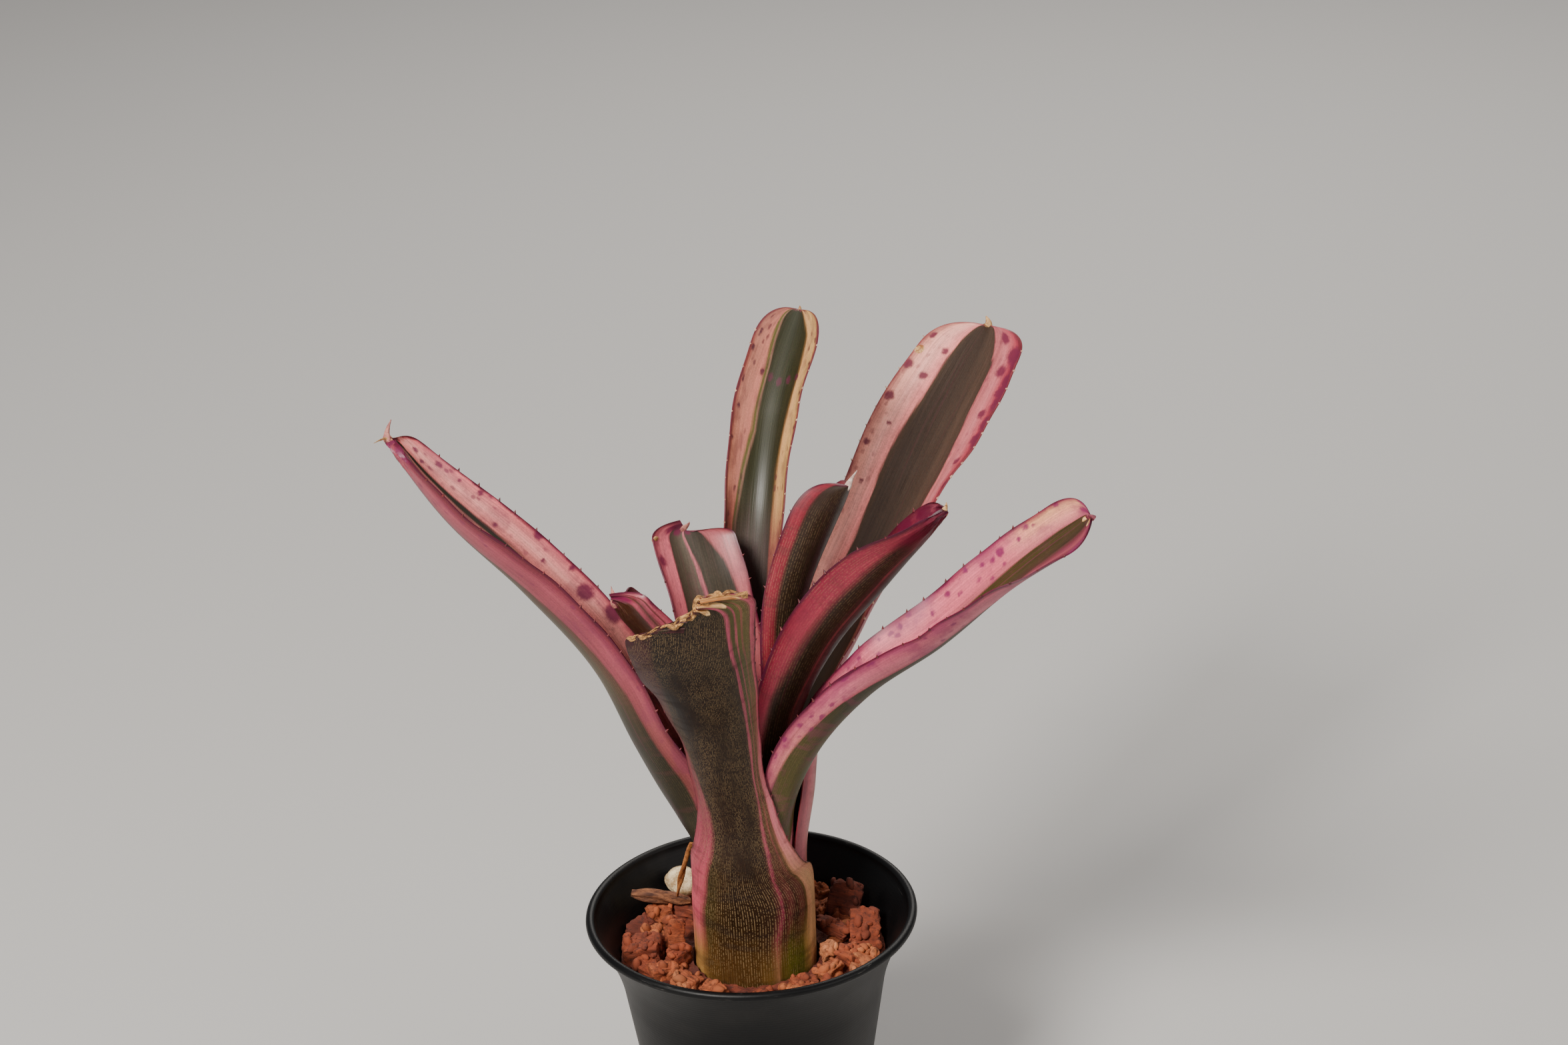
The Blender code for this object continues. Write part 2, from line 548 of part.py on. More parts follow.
def add_tip(vertices, faces, points, normals, o, n, last, columns):
    """Close the blunt end of a blade and draw its middle out to a short point."""
    middle = columns // 2
    for j in range(columns):
        if middle - 1 <= j <= middle:
            continue
        faces.append((o(last, j), o(last, j + 1), n(last, j + 1)))
        faces.append((o(last, j), n(last, j + 1), n(last, j)))
    forward = points[last, middle] - points[last - 1, middle]
    forward /= np.linalg.norm(forward)
    apex = len(vertices)
    vertices.append(tuple(points[last, middle] + TIP_POINT * forward + TIP_LIFT * normals[last, middle]))
    ring = [o(last, middle - 1), o(last, middle), o(last, middle + 1),
            n(last, middle + 1), n(last, middle), n(last, middle - 1)]
    for a, b in zip(ring, ring[1:] + ring[:1]):
        faces.append((a, b, apex))


def main():
    clear_scene()
    make_pot()
    make_husk_bed()
    make_debris()
    make_stem()
    for name, leaf in LEAVES.items():
        make_leaf(name, leaf)


main()
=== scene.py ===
"""A small variegated neoregelia in a flared black nursery pot, finished piece by piece.

Units are metres, +Z is up and the origin is the middle of the pot's foot.  Sizes are written in
millimetres times MM, colours as (red, green, blue) from 0 to 255.
"""
import functools
import itertools
import math
import random

import bmesh
import bpy
import numpy as np
from mathutils import Euler, Matrix, Vector, noise


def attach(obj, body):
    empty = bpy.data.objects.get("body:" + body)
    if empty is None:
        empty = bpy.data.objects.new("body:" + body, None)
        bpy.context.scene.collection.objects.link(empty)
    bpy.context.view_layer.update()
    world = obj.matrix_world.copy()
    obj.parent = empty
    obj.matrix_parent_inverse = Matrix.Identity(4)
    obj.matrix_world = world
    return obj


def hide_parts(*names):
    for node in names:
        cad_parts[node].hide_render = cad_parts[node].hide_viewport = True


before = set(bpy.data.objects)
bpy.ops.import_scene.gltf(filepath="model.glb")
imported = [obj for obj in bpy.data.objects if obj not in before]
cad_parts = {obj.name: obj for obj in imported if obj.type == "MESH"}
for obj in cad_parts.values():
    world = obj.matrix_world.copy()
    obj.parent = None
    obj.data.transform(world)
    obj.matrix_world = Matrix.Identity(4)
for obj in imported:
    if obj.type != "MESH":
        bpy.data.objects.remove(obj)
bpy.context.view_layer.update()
MM = 0.001

# ---- The studio --------------------------------------------------------------------------------
# A plain pale floor, three soft lamps and an even grey room.  The camera looks 24.5 degrees down
# on the plant from a little over a metre, through an 85 mm lens, and is rolled 2.4 degrees.
VIEW_DOWN = math.radians(24.5)
VIEW_ROLL = math.radians(2.4)
CAMERA_AT = (13.27 * MM, -870.5 * MM, 591.0 * MM)
LENS, SENSOR = 85, 36
FLOOR_RADIUS = 4
LAMP_AIM, LAMP_COLOUR = Vector((0, 0, 0.13)), (1.0, 0.96, 0.9)
LAMPS = {                                # place, width and power
    "key": ((-0.55, -0.8, 1.05), 0.42, 31), "fill": ((0.95, -0.55, 0.65), 0.8, 4),
    "back": ((0.25, 0.95, 0.95), 0.7, 9)}


def stand(name, data):
    """A new object in the scene."""
    made = bpy.data.objects.new(name, data)
    bpy.context.scene.collection.objects.link(made)
    return made


bpy.ops.mesh.primitive_circle_add(vertices=96, radius=FLOOR_RADIUS, fill_type='NGON')
floor = bpy.context.active_object
floor.name = "floor"
floor_finish = bpy.data.materials.new("pale floor")
floor_finish.use_nodes = True
floor_shader = floor_finish.node_tree.nodes["Principled BSDF"]
floor_shader.inputs["Base Color"].default_value = (0.5, 0.49, 0.48, 1)
floor_shader.inputs["Roughness"].default_value = 0.85
floor.data.materials.append(floor_finish)

view_forward = Vector((0, math.cos(VIEW_DOWN), -math.sin(VIEW_DOWN)))
level_right, level_up = Vector((1, 0, 0)), Vector((0, math.sin(VIEW_DOWN), math.cos(VIEW_DOWN)))
view_right = math.cos(VIEW_ROLL) * level_right - math.sin(VIEW_ROLL) * level_up
view_up = math.sin(VIEW_ROLL) * level_right + math.cos(VIEW_ROLL) * level_up
camera = stand("camera", bpy.data.cameras.new("camera"))
camera.data.lens, camera.data.sensor_width, camera.data.sensor_fit = LENS, SENSOR, 'HORIZONTAL'
camera.data.clip_start = 0.05
camera.matrix_world = (Matrix.Translation(CAMERA_AT)
                       @ Matrix((view_right, view_up, -view_forward)).transposed().to_4x4())
bpy.context.scene.camera = camera

for lamp_name, (place, width, power) in LAMPS.items():
    lamp = stand(lamp_name, bpy.data.lights.new(lamp_name, 'AREA'))
    lamp.data.size, lamp.data.energy = width, power
    lamp.data.color = LAMP_COLOUR
    aim = LAMP_AIM - Vector(place)
    lamp.matrix_world = Matrix.Translation(place) @ aim.to_track_quat('-Z', 'Y').to_matrix().to_4x4()
room = bpy.data.worlds.new("room")
room.use_nodes = True
room.node_tree.nodes["Background"].inputs["Color"].default_value = (0.62, 0.62, 0.64, 1)
room.node_tree.nodes["Background"].inputs["Strength"].default_value = 0.3
bpy.context.scene.world = room


# ---- The pot -----------------------------------------------------------------------------------
# One thin blown shell of black polypropylene.  Its straight taper flares at the top and rolls over
# into a lip; the floor has six round drain holes.  The lip is scuffed where it has been handled.
POT_WALL = 1.2 * MM
POT_FLOOR = 1.6 * MM
POT_BASE = [(0, 0), (25.2 * MM, 0), (26.1 * MM, 0.3 * MM)]
POT_OUTSIDE = [(26.5, 0.9), (36.0, 61), (37.6, 66.5), (40.2, 72.5), (42.9, 77.2)]   # radius, height
POT_TURNS = 176
POT_FLARE, FLARE_EASE = (60, 75), 2.2    # the heights it bends between, and mm either way to ease by
DRAIN_HOLES, DRAIN_RADIUS, DRAIN_CIRCLE = 6, 2.5 * MM, 17 * MM
LIP_MIDDLE, LIP_ROUND, LIP_TURN = (43.75 * MM, 78.75 * MM), 1.25 * MM, (-75, 190)
SCUFFED = (76.5 * MM, 79.5 * MM)         # the heights between which the scratches set in
RING_STEP = 0.9 * MM                     # between the fine rings in the plastic


def rgb(red, green, blue):
    """A colour given from 0 to 255 as screens show it, as linear light."""
    shares = [c / 255 for c in (red, green, blue)]
    linear = [c / 12.92 if c <= 0.04045 else ((c + 0.055) / 1.055) ** 2.4 for c in shares]
    return (*linear, 1.0)


def put(socket, value):
    """Link an input to a node's output, or set it to a value."""
    if isinstance(value, bpy.types.NodeSocket):
        socket.id_data.links.new(value, socket)
    else:
        socket.default_value = value


def add(kind, sockets=None, tree=None, **settings):
    """One node with its settings and inputs, in `tree` or in the tree that its inputs come from."""
    sockets = sockets or {}
    linked = [value for value in sockets.values() if isinstance(value, bpy.types.NodeSocket)]
    made = (tree or linked[0].id_data).nodes.new(kind)
    for name, value in settings.items():
        setattr(made, name, value)
    for name, value in sockets.items():
        put(made.inputs[name], value)
    return made


def sums(operation, first, second=0.0, third=0.0):
    """The result of one Math node."""
    return add("ShaderNodeMath", {0: first, 1: second, 2: third}, operation=operation).outputs[0]


plus, minus, times, times_plus, above = [functools.partial(sums, operation) for operation in (
    'ADD', 'SUBTRACT', 'MULTIPLY', 'MULTIPLY_ADD', 'GREATER_THAN')]


def rise(value, low, high):
    """0 below `low`, 1 above `high`, smooth between; the other way round where low > high."""
    return add("ShaderNodeMapRange", {"Value": value, "From Min": low, "From Max": high},
               interpolation_type='SMOOTHSTEP').outputs["Result"]


def mix(share, first, second, how='MIX'):
    return add("ShaderNodeMix", {0: share, 6: first, 7: second}, data_type='RGBA',
               blend_type=how).outputs[2]


def grain(where, scale, stretch=(1, 1, 1), detail=3, rough=0.55):
    """Noise from 0 to 1 over the places `where`, drawn out by `stretch`."""
    spread = add("ShaderNodeVectorMath", {0: where, 1: stretch}, operation='MULTIPLY').outputs[0]
    return add("ShaderNodeTexNoise", {"Vector": spread, "Scale": scale, "Detail": detail,
                                      "Roughness": rough}).outputs["Fac"]


def bump(height, strength, distance):
    return add("ShaderNodeBump", {"Height": height, "Strength": strength,
                                  "Distance": distance}).outputs["Normal"]


def new_finish(name):
    """An empty material, with its node tree and its shader."""
    material = bpy.data.materials.new(name)
    material.use_nodes = True
    return material, material.node_tree, material.node_tree.nodes["Principled BSDF"]


def places(tree):
    """The piece's own coordinates, in a material's tree."""
    return add("ShaderNodeTexCoord", tree=tree).outputs["Object"]


def feed(node, **links):
    """Link or set a node's inputs; an underscore in a name stands for a space."""
    for name, value in links.items():
        put(node.inputs[name.replace("_", " ")], value)


def pot_plastic():
    """Black plastic with fine level rings, a little dust and a scratched lip."""
    material, tree, shader = new_finish("black nursery plastic")
    where = places(tree)
    cloud = grain(where, 60, detail=4)
    speck = grain(where, 900, detail=2)
    scratch = rise(grain(where, 70, (1, 1, 22), detail=5, rough=0.7), 0.62, 0.74)
    height = add("ShaderNodeSeparateXYZ", {0: where}).outputs["Z"]
    scuff = times(scratch, rise(height, *SCUFFED))
    black = mix(cloud, rgb(4, 4, 5), rgb(10, 10, 11))
    dusty = mix(times(rise(cloud, 0.5, 0.75), 0.2), black, rgb(48, 45, 42))
    worn = mix(times(scuff, 0.6), dusty, rgb(120, 116, 112))
    rings = sums('SINE', times(height, 2 * math.pi / RING_STEP))
    relief = plus(times(speck, 0.7), times(rings, 0.12))
    gloss = plus(times(cloud, 0.22), 0.33)
    feed(shader, Base_Color=worn, Normal=bump(relief, 0.28, 0.12 * MM), Specular_IOR_Level=0.22,
         Roughness=plus(gloss, times(scuff, 0.25)))
    return material


def turned(name, profile, sides, shifts=None):
    """A body turned about Z from (radius, height) points in metres; ends on the axis are closed."""
    shape = bmesh.new()
    rings = []
    for place, (radius, height) in enumerate(profile):
        shift = shifts[place] if shifts else 0.0
        if radius == 0:
            rings.append([shape.verts.new((shift, 0, height))])
            continue
        rings.append([shape.verts.new((shift + radius * math.cos(2 * math.pi * step / sides),
                                       radius * math.sin(2 * math.pi * step / sides), height))
                      for step in range(sides)])
    for low, high in zip(rings, rings[1:]):
        for step in range(sides):
            after = (step + 1) % sides
            corners = [low[step % len(low)], low[after % len(low)],
                       high[after % len(high)], high[step % len(high)]]
            shape.faces.new(list(dict.fromkeys(corners)))
    bmesh.ops.recalc_face_normals(shape, faces=shape.faces)
    piece = stand(name, bpy.data.meshes.new(name))
    shape.to_mesh(piece.data)
    shape.free()
    return piece


def settle(piece):
    """Turn what a piece's modifiers make into its plain mesh."""
    graph = bpy.context.evaluated_depsgraph_get()
    made = bpy.data.meshes.new_from_object(piece.evaluated_get(graph))
    piece.modifiers.clear()
    piece.data = made


def show(piece, body_slot, *nodes, soften=40):
    """Shade a finished piece, fix it to the plant and let it stand for its CAD nodes."""
    piece.data.shade_smooth()
    piece.data.set_sharp_from_angle(angle=math.radians(soften))
    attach(piece, "root")
    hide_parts(*nodes)


def wall_outside(height):
    """The pot's outer radius at a height, in metres: a smooth curve through its main rings."""
    rings = np.array(POT_OUTSIDE)
    straight = np.interp(height / MM, rings[:, 1], rings[:, 0])
    eased = np.mean([np.interp(height / MM + lift, rings[:, 1], rings[:, 0])
                     for lift in np.linspace(-FLARE_EASE, FLARE_EASE, 9)])
    return (eased if POT_FLARE[0] < height / MM < POT_FLARE[1] else straight) * MM


wall_heights = np.concatenate([np.linspace(0.9, 58, 14), np.linspace(59.5, 77.2, 22)]) * MM
pot_profile = POT_BASE + [(wall_outside(h), h) for h in wall_heights]
pot_profile += [(LIP_MIDDLE[0] + LIP_ROUND * math.cos(a), LIP_MIDDLE[1] + LIP_ROUND * math.sin(a))
                for a in np.radians(np.linspace(*LIP_TURN, 15))]
pot_profile += [(wall_outside(h) - POT_WALL, h) for h in wall_heights[::-1] if h > 3 * MM]
pot_profile += [(wall_outside(POT_FLOOR) - POT_WALL - 0.4 * MM, POT_FLOOR), (0, POT_FLOOR)]
pot = turned("pot", pot_profile, POT_TURNS)
for step in range(DRAIN_HOLES):
    turn = 2 * math.pi * (step + 0.5) / DRAIN_HOLES
    bpy.ops.mesh.primitive_cylinder_add(vertices=28, radius=DRAIN_RADIUS, depth=3 * POT_FLOOR,
                                        location=(DRAIN_CIRCLE * math.cos(turn),
                                                  DRAIN_CIRCLE * math.sin(turn), POT_FLOOR / 2))
    drill = bpy.context.active_object
    cut = pot.modifiers.new("drain", 'BOOLEAN')
    cut.operation, cut.object = 'DIFFERENCE', drill
    settle(pot)
    bpy.data.objects.remove(drill)
pot.data.materials.clear()
pot.data.materials.append(pot_plastic())
show(pot, "pot_plastic", "pot", soften=35)


# ---- The coconut-husk chips --------------------------------------------------------------------
# Rough blocks of brick-red husk, 8 to 18 mm long, cut across their fibres and packed round the
# plant.  Crumbs lie in the gaps between them; lower down they are one filled bed.
HUSK_LEVEL = 66.5 * MM
GAP = 0.3 * MM
WALL_GAP = 1.5 * GAP
BED_TURNS = 200
PLANT_X = 0.8 * MM
PLANT_HOLE = 17.6 * MM
PLANT_FOOT = 43.7 * MM
CHIPS = [                                # centre; length, width, thickness; turns about X, Y, Z
    ((-29.5, -1, 69), (13, 9, 8), (14, -10, -8)),
    ((-21.5, 1.5, 70), (5.5, 6, 14), (-8, 8, 10)),
    ((-20, -4.5, 67.5), (7, 5, 9), (8, -12, 35)),
    ((-24.5, -10.5, 67.5), (9, 6, 4.5), (6, 8, 25)),
    ((-17.5, -15.5, 67), (8, 5, 4.5), (-4, 6, -40)),
    ((-31, 13, 67), (10, 7, 5), (0, -14, 40)),
    ((25.5, 16, 70.5), (10, 4, 13), (-22, 12, -8)),
    ((19.5, 24.5, 68.5), (4, 4, 6), (10, 5, 20)),
    ((30.5, 2, 69.5), (9, 16, 4), (34, 6, 4)),
    ((22.3, 4.5, 70), (11, 4.5, 3.5), (0, 10, -32)),
    ((20.5, -6, 68.5), (4.5, 6, 5), (12, 0, 15)),
    ((26, -7.5, 67.8), (8, 7, 5), (8, 12, -15)),
    ((20.5, -13.5, 67.2), (8, 5, 4), (6, -6, 48)),
    ((13.5, -19.5, 67), (8, 5.5, 4), (5, 8, 20)),
    ((-25.2, 16.6, 68.9), (7, 6, 7), (4, -6, 20)),
    ((-18.6, 17.8, 68.0), (6.5, 5, 6.6), (-6, 4, -15)),
    ((-19.5, 25.6, 65.9), (8, 7, 5), (3, -4, 30)),
]
LOOSE_CHIPS, CHIP_SEED = 20, 11
CORNER_DRAWN_IN = (0.72, 0.72, 0.78)     # how far a corner may draw in along X, Y and Z
LOOSE_REACH, LOOSE_HEIGHT = (22, 33), (65.8, 67.3)
LOOSE_SIZE, LOOSE_LEAN = ((7, 12), (5, 8), (3.5, 5.5)), 18
CHIP_CUTS = 13                           # faces along each edge of a chip
CHIP_ROUNDING, CHIP_RIBS, CHIP_TEARS = 0.55, 0.42, 0.75    # the last two in mm
HUSK_TONES = [(0, 46, 18, 14), (30, 104, 42, 25), (55, 150, 68, 36), (80, 178, 96, 54),
              (100, 200, 130, 84)]
CRUST = HUSK_LEVEL - 0.6 * MM            # the bed's top between the chips
CRUST_WAVES = ((1.1 * MM, 420), (0.5 * MM, 1300))          # height, waves in a metre
CRUMBS, CRUMB_SEED, TONE_SEED = 520, 5, 3
SMALLEST_CRUMB, LARGEST_CRUMB = 0.25, 1.3
CRUMB_DENSITY = 160000.0                 # points per square metre, before the surplus goes
CRUMB_REACH = 34.6 * MM                  # from the pot's axis, so none touches its wall


def husk():
    """Fibrous husk; `tone` shifts each chip from dark red to orange-tan, and small dark spots are painted
    shade in its crevices.
    """
    material, tree, shader = new_finish("coconut husk")
    where = places(tree)
    tone = add("ShaderNodeAttribute", tree=tree, attribute_name="tone").outputs["Fac"]
    along = add("ShaderNodeAttribute", tree=tree, attribute_name="along").outputs["Vector"]
    fibre = grain(along, 1.0, (260, 2100, 2100), detail=4, rough=0.65)
    patch = grain(where, 170, detail=4, rough=0.6)
    # painted shade: small near-black spots standing in for the shade down in the husk's crevices
    painted_crevice_shade = rise(grain(where, 700, detail=3, rough=0.7), 0.5, 0.3)
    warm = ramp(plus(times(tone, 0.7), times(patch, 0.45)), HUSK_TONES)
    streaked = mix(rise(fibre, 0.35, 0.7), mix(0.5, warm, rgb(60, 24, 16)), warm)
    relief = plus(fibre, times(patch, 0.5))
    feed(shader, Base_Color=mix(times(painted_crevice_shade, 0.65), streaked, rgb(30, 12, 10)), Roughness=0.88,
         Normal=bump(relief, 0.8, 0.35 * MM))
    return material


def ramp(value, stops):
    """The colour that a value picks from stops of (place in hundredths, red, green, blue)."""
    made = add("ShaderNodeValToRGB", {"Fac": value})
    elements = made.color_ramp.elements
    elements.remove(elements[-1])
    for number, (place, *colour) in enumerate(stops):
        element = elements.new(place / 100) if number else elements[0]
        element.position, element.color = place / 100, rgb(*colour)
    return made.outputs["Color"]


def chip_corners(size, draw):
    """The eight drawn-in corners of a chip, by their signs."""
    return {signs: np.array([sign * edge * draw.uniform(least, 1.0)
                             for sign, edge, least in zip(signs, size, CORNER_DRAWN_IN)])
            for signs in itertools.product((-0.5, 0.5), repeat=3)}


def within_wall(point):
    """Hold a chip's point inside the pot and clear of the plant."""
    x, y, z = point
    reach = math.hypot(x, y)
    most = wall_outside(min(max(z, POT_FLOOR), 77 * MM)) - POT_WALL - WALL_GAP
    if reach > most:
        x, y = x * most / reach, y * most / reach
    inner = math.hypot(x - PLANT_X, y)
    least = PLANT_HOLE - 0.2 * MM
    if inner < least:
        x, y = PLANT_X + (x - PLANT_X) * least / inner, y * least / inner
    return x, y, z


def add_chip(shape, layers, centre, turns, corners, tone):
    """One rough chip: a block between its drawn-in corners, rounded, ribbed and torn."""
    turn = Euler([math.radians(t) for t in turns]).to_matrix()
    seed = Vector(centre) * 1.7
    made = {}
    steps = [s / CHIP_CUTS - 0.5 for s in range(CHIP_CUTS + 1)]

    def corner_mix(x, y, z):
        return sum(corners[a, b, c] * (0.5 + 2 * a * x) * (0.5 + 2 * b * y) * (0.5 + 2 * c * z)
                   for a, b, c in corners)

    def vertex(x, y, z):
        key = (round(x, 4), round(y, 4), round(z, 4))
        if key in made:
            return made[key]
        flat = Vector(corner_mix(x, y, z))
        off = Vector((x, y, z))
        rounding = 1 - CHIP_ROUNDING * max(0.0, off.length - 0.62)
        p = flat * rounding
        out = flat.normalized()
        ribs = noise.noise(Vector((p.x * 0.22, p.y * 1.5, p.z * 1.5)) + seed)
        torn = noise.noise(p * 0.55 + seed * 2)
        p += out * (CHIP_RIBS * ribs + CHIP_TEARS * torn)
        v = shape.verts.new(within_wall((turn @ p + Vector(centre)) * MM))
        v[layers["tone"]] = tone + 0.12 * torn
        v[layers["along"]] = (p + seed * 9) * MM
        made[key] = v
        return v

    strips = list(zip(steps, steps[1:]))
    for axis, side in itertools.product(range(3), (-0.5, 0.5)):
        for (a, a2), (b, b2) in itertools.product(strips, strips):
            ring = []
            for s, t in ((a, b), (a2, b), (a2, b2), (a, b2)):
                at = [0, 0, 0]
                at[axis], at[(axis + 1) % 3], at[(axis + 2) % 3] = side, s, t
                ring.append(vertex(*at))
            shape.faces.new(ring if side > 0 else ring[::-1])


def all_chips(draw):
    """Each chip's centre, turns and corners: the placed ones, then the loose ones round the plant."""
    for centre, size, turns in CHIPS:
        yield centre, turns, chip_corners(size, draw)
    for step in range(LOOSE_CHIPS):
        angle = 2 * math.pi * (step + draw.uniform(0.1, 0.9)) / LOOSE_CHIPS
        reach = draw.uniform(*LOOSE_REACH)
        centre = (reach * math.cos(angle), reach * math.sin(angle), draw.uniform(*LOOSE_HEIGHT))
        size = [draw.uniform(*limits) for limits in LOOSE_SIZE]
        turns = [draw.uniform(-LOOSE_LEAN, LOOSE_LEAN) for _ in "XY"] + [draw.uniform(0, 180)]
        yield centre, turns, chip_corners(size, draw)


def husk_core():
    """The filled bed under the chips, its top torn into a low crust."""
    outer = [(wall_outside(h) - POT_WALL - WALL_GAP, h)
             for h in np.linspace(POT_FLOOR + GAP, HUSK_LEVEL - 1 * MM, 24)]
    crust = [(r, CRUST) for r in np.linspace(36 * MM, PLANT_HOLE, 40)]
    hole = [(PLANT_HOLE, PLANT_FOOT), (0, PLANT_FOOT)]
    profile = [(0, POT_FLOOR + GAP)] + outer + crust + hole
    shifts = [PLANT_X if i >= len(profile) - 4 else 0 for i in range(len(profile))]
    core = turned("husk_bed", profile, BED_TURNS, shifts)
    for v in core.data.vertices:
        if v.co.z > CRUST - 0.1 * MM:
            v.co.z += sum(height * noise.noise(v.co * waves) for height, waves in CRUST_WAVES)
    return core


def new_group(name, kind, inputs, outputs):
    """An empty node group of a kind with its named sockets, and its input node's outputs."""
    tree = bpy.data.node_groups.new(name, kind)
    for side, sockets in (('INPUT', inputs), ('OUTPUT', outputs)):
        for label, holds in sockets.items():
            tree.interface.new_socket(label, in_out=side, socket_type="NodeSocket" + holds)
    return tree, add("NodeGroupInput", tree=tree).outputs


def copies(points, piece, turn, size):
    """Plain copies of a piece on points."""
    source = add("GeometryNodeObjectInfo", {"Object": piece})
    stood = add("GeometryNodeInstanceOnPoints",
                {"Points": points, "Instance": source.outputs["Geometry"], "Rotation": turn,
                 "Scale": size})
    return add("GeometryNodeRealizeInstances", {0: stood.outputs[0]}).outputs[0]


def hand_out(geometry, material):
    """End a Geometry Nodes tree with its geometry in one material."""
    coat = add("GeometryNodeSetMaterial", {0: geometry, "Material": material})
    add("NodeGroupOutput", {0: coat.outputs[0]})


def crumb_tree():
    """Scatters small torn crumbs over the bed's top, none of them near the pot's wall."""
    tree, given = new_group(
        "husk crumbs", 'GeometryNodeTree',
        {"Geometry": "Geometry", "Crumb": "Object", "Count": "Int", "Largest": "Float",
         "Material": "Material", "Seed": "Int"}, {"Geometry": "Geometry"})
    normal = add("GeometryNodeInputNormal", tree=tree).outputs[0]
    place = add("GeometryNodeInputPosition", tree=tree).outputs[0]
    up = add("ShaderNodeSeparateXYZ", {0: normal}).outputs["Z"]
    x, y, z = add("ShaderNodeSeparateXYZ", {0: place}).outputs
    on_top = times(above(up, 0.3), above(z, HUSK_LEVEL - 2.5 * MM))
    spread = add("GeometryNodeDistributePointsOnFaces",
                 {"Mesh": given["Geometry"], "Density": CRUMB_DENSITY, "Selection": on_top,
                  "Seed": given["Seed"]})
    number = add("GeometryNodeInputIndex", tree=tree).outputs[0]
    surplus = plus(above(number, given["Count"]),
                   above(times_plus(x, x, times(y, y)), CRUMB_REACH ** 2))
    few = add("GeometryNodeDeleteGeometry",
              {"Geometry": spread.outputs["Points"], "Selection": above(surplus, 0.5)})
    turn = add("FunctionNodeRandomValue", {"Min": (0, 0, 0), "Max": (6.28, 6.28, 6.28),
                                           "Seed": given["Seed"]}, data_type='FLOAT_VECTOR')
    size = add("FunctionNodeRandomValue", {2: SMALLEST_CRUMB, 3: given["Largest"],
                                           "Seed": given["Seed"]}, data_type='FLOAT')
    real = copies(few.outputs[0], given["Crumb"], turn.outputs[0], size.outputs[1])
    joined = add("GeometryNodeJoinGeometry", tree=tree)
    for part in (real, given["Geometry"]):
        put(joined.inputs[0], part)
    hand_out(joined.outputs[0], given["Material"])
    return tree


def use_tree(piece, tree, **values):
    """Run a Geometry Nodes tree on a piece with its named inputs, and keep the plain mesh."""
    step = piece.modifiers.new(tree.name, 'NODES')
    step.node_group = tree
    for socket in tree.interface.items_tree:
        if socket.in_out == 'INPUT' and socket.name in values:
            step[socket.identifier] = values[socket.name]
    settle(piece)


tone_draw = random.Random(TONE_SEED)
husk_shape = bmesh.new()
chip_layers = {"tone": husk_shape.verts.layers.float.new("tone"),
               "along": husk_shape.verts.layers.float_vector.new("along")}
for chip_centre, chip_turns, chip_shape in all_chips(random.Random(CHIP_SEED)):
    add_chip(husk_shape, chip_layers, chip_centre, chip_turns, chip_shape, tone_draw.uniform(0.1, 0.95))
husk_bed = husk_core()
bed_layers = [husk_bed.data.attributes.new(n, t, 'POINT') for n, t in
              (("tone", 'FLOAT'), ("along", 'FLOAT_VECTOR'))]
bed_points = [v.co for v in husk_bed.data.vertices]
# The bed's top shows only in the gaps between the chips, so its tone is held near the darkest: painted
# shade of the gaps.
bed_layers[0].data.foreach_set("value", [0.12 + 0.3 * noise.noise(p * 300) for p in bed_points])
bed_layers[1].data.foreach_set("vector", [c for p in bed_points for c in p])
husk_shape.from_mesh(husk_bed.data)
husk_shape.to_mesh(husk_bed.data)
husk_shape.free()

crumb_shape = bmesh.new()
bmesh.ops.create_icosphere(crumb_shape, subdivisions=2, radius=1 * MM)
for v in crumb_shape.verts:
    v.co *= 1 + 0.55 * noise.noise(v.co * 900)
    v.co.x *= 1.6
crumb = bpy.data.objects.new("crumb", bpy.data.meshes.new("crumb"))
crumb_shape.to_mesh(crumb.data)
crumb_shape.free()
use_tree(husk_bed, crumb_tree(), Crumb=crumb, Count=CRUMBS, Largest=LARGEST_CRUMB,
         Material=husk(), Seed=CRUMB_SEED)
bpy.data.objects.remove(crumb)
show(husk_bed, "coconut_husk", "husk_bed", soften=60)


# ---- What lies on the chips --------------------------------------------------------------------
# A cream pebble, a ridged splinter of dry bark beside it, and an orange-brown dead leaf strand that
# hangs down the plant's left side and ends between them.
PEBBLE_AT, PEBBLE_SIZE = (-19.2, 26, 74.2), (9.6, 9, 8.2)
SPLINTER = [(-33, 16.8, 76.4, 0.9), (-30, 16.9, 75.6, 1.6), (-24, 17.6, 74.2, 1.7),
            (-18.6, 18.2, 72.6, 1.2), (-17, 18.4, 72.2, 0.7)]              # x, y, z, radius
STRAND = [(-14.9, 3.1, 99, 0.7), (-16.3, 5.4, 95, 0.9), (-18.1, 8.6, 88, 0.8),
          (-19.6, 12.4, 80.6, 0.55), (-20.2, 15, 76.8, 0.45), (-20.5, 17.1, 74.6, 0.4)]


def rough_finish(name, dark, light, size, stretch=(1, 1, 1), rough=0.85, depth=0.3 * MM):
    """Two tones in patches of a size, with the same patches raised."""
    material, tree, shader = new_finish(name)
    where = places(tree)
    patch = grain(where, 1 / size, stretch, detail=5, rough=0.65)
    fine = grain(where, 6 / size, stretch, detail=3)
    both = plus(times(patch, 0.7), times(fine, 0.3))
    feed(shader, Base_Color=mix(rise(both, 0.35, 0.65), rgb(*dark), rgb(*light)),
         Roughness=rough, Normal=bump(both, 0.7, depth))
    return material


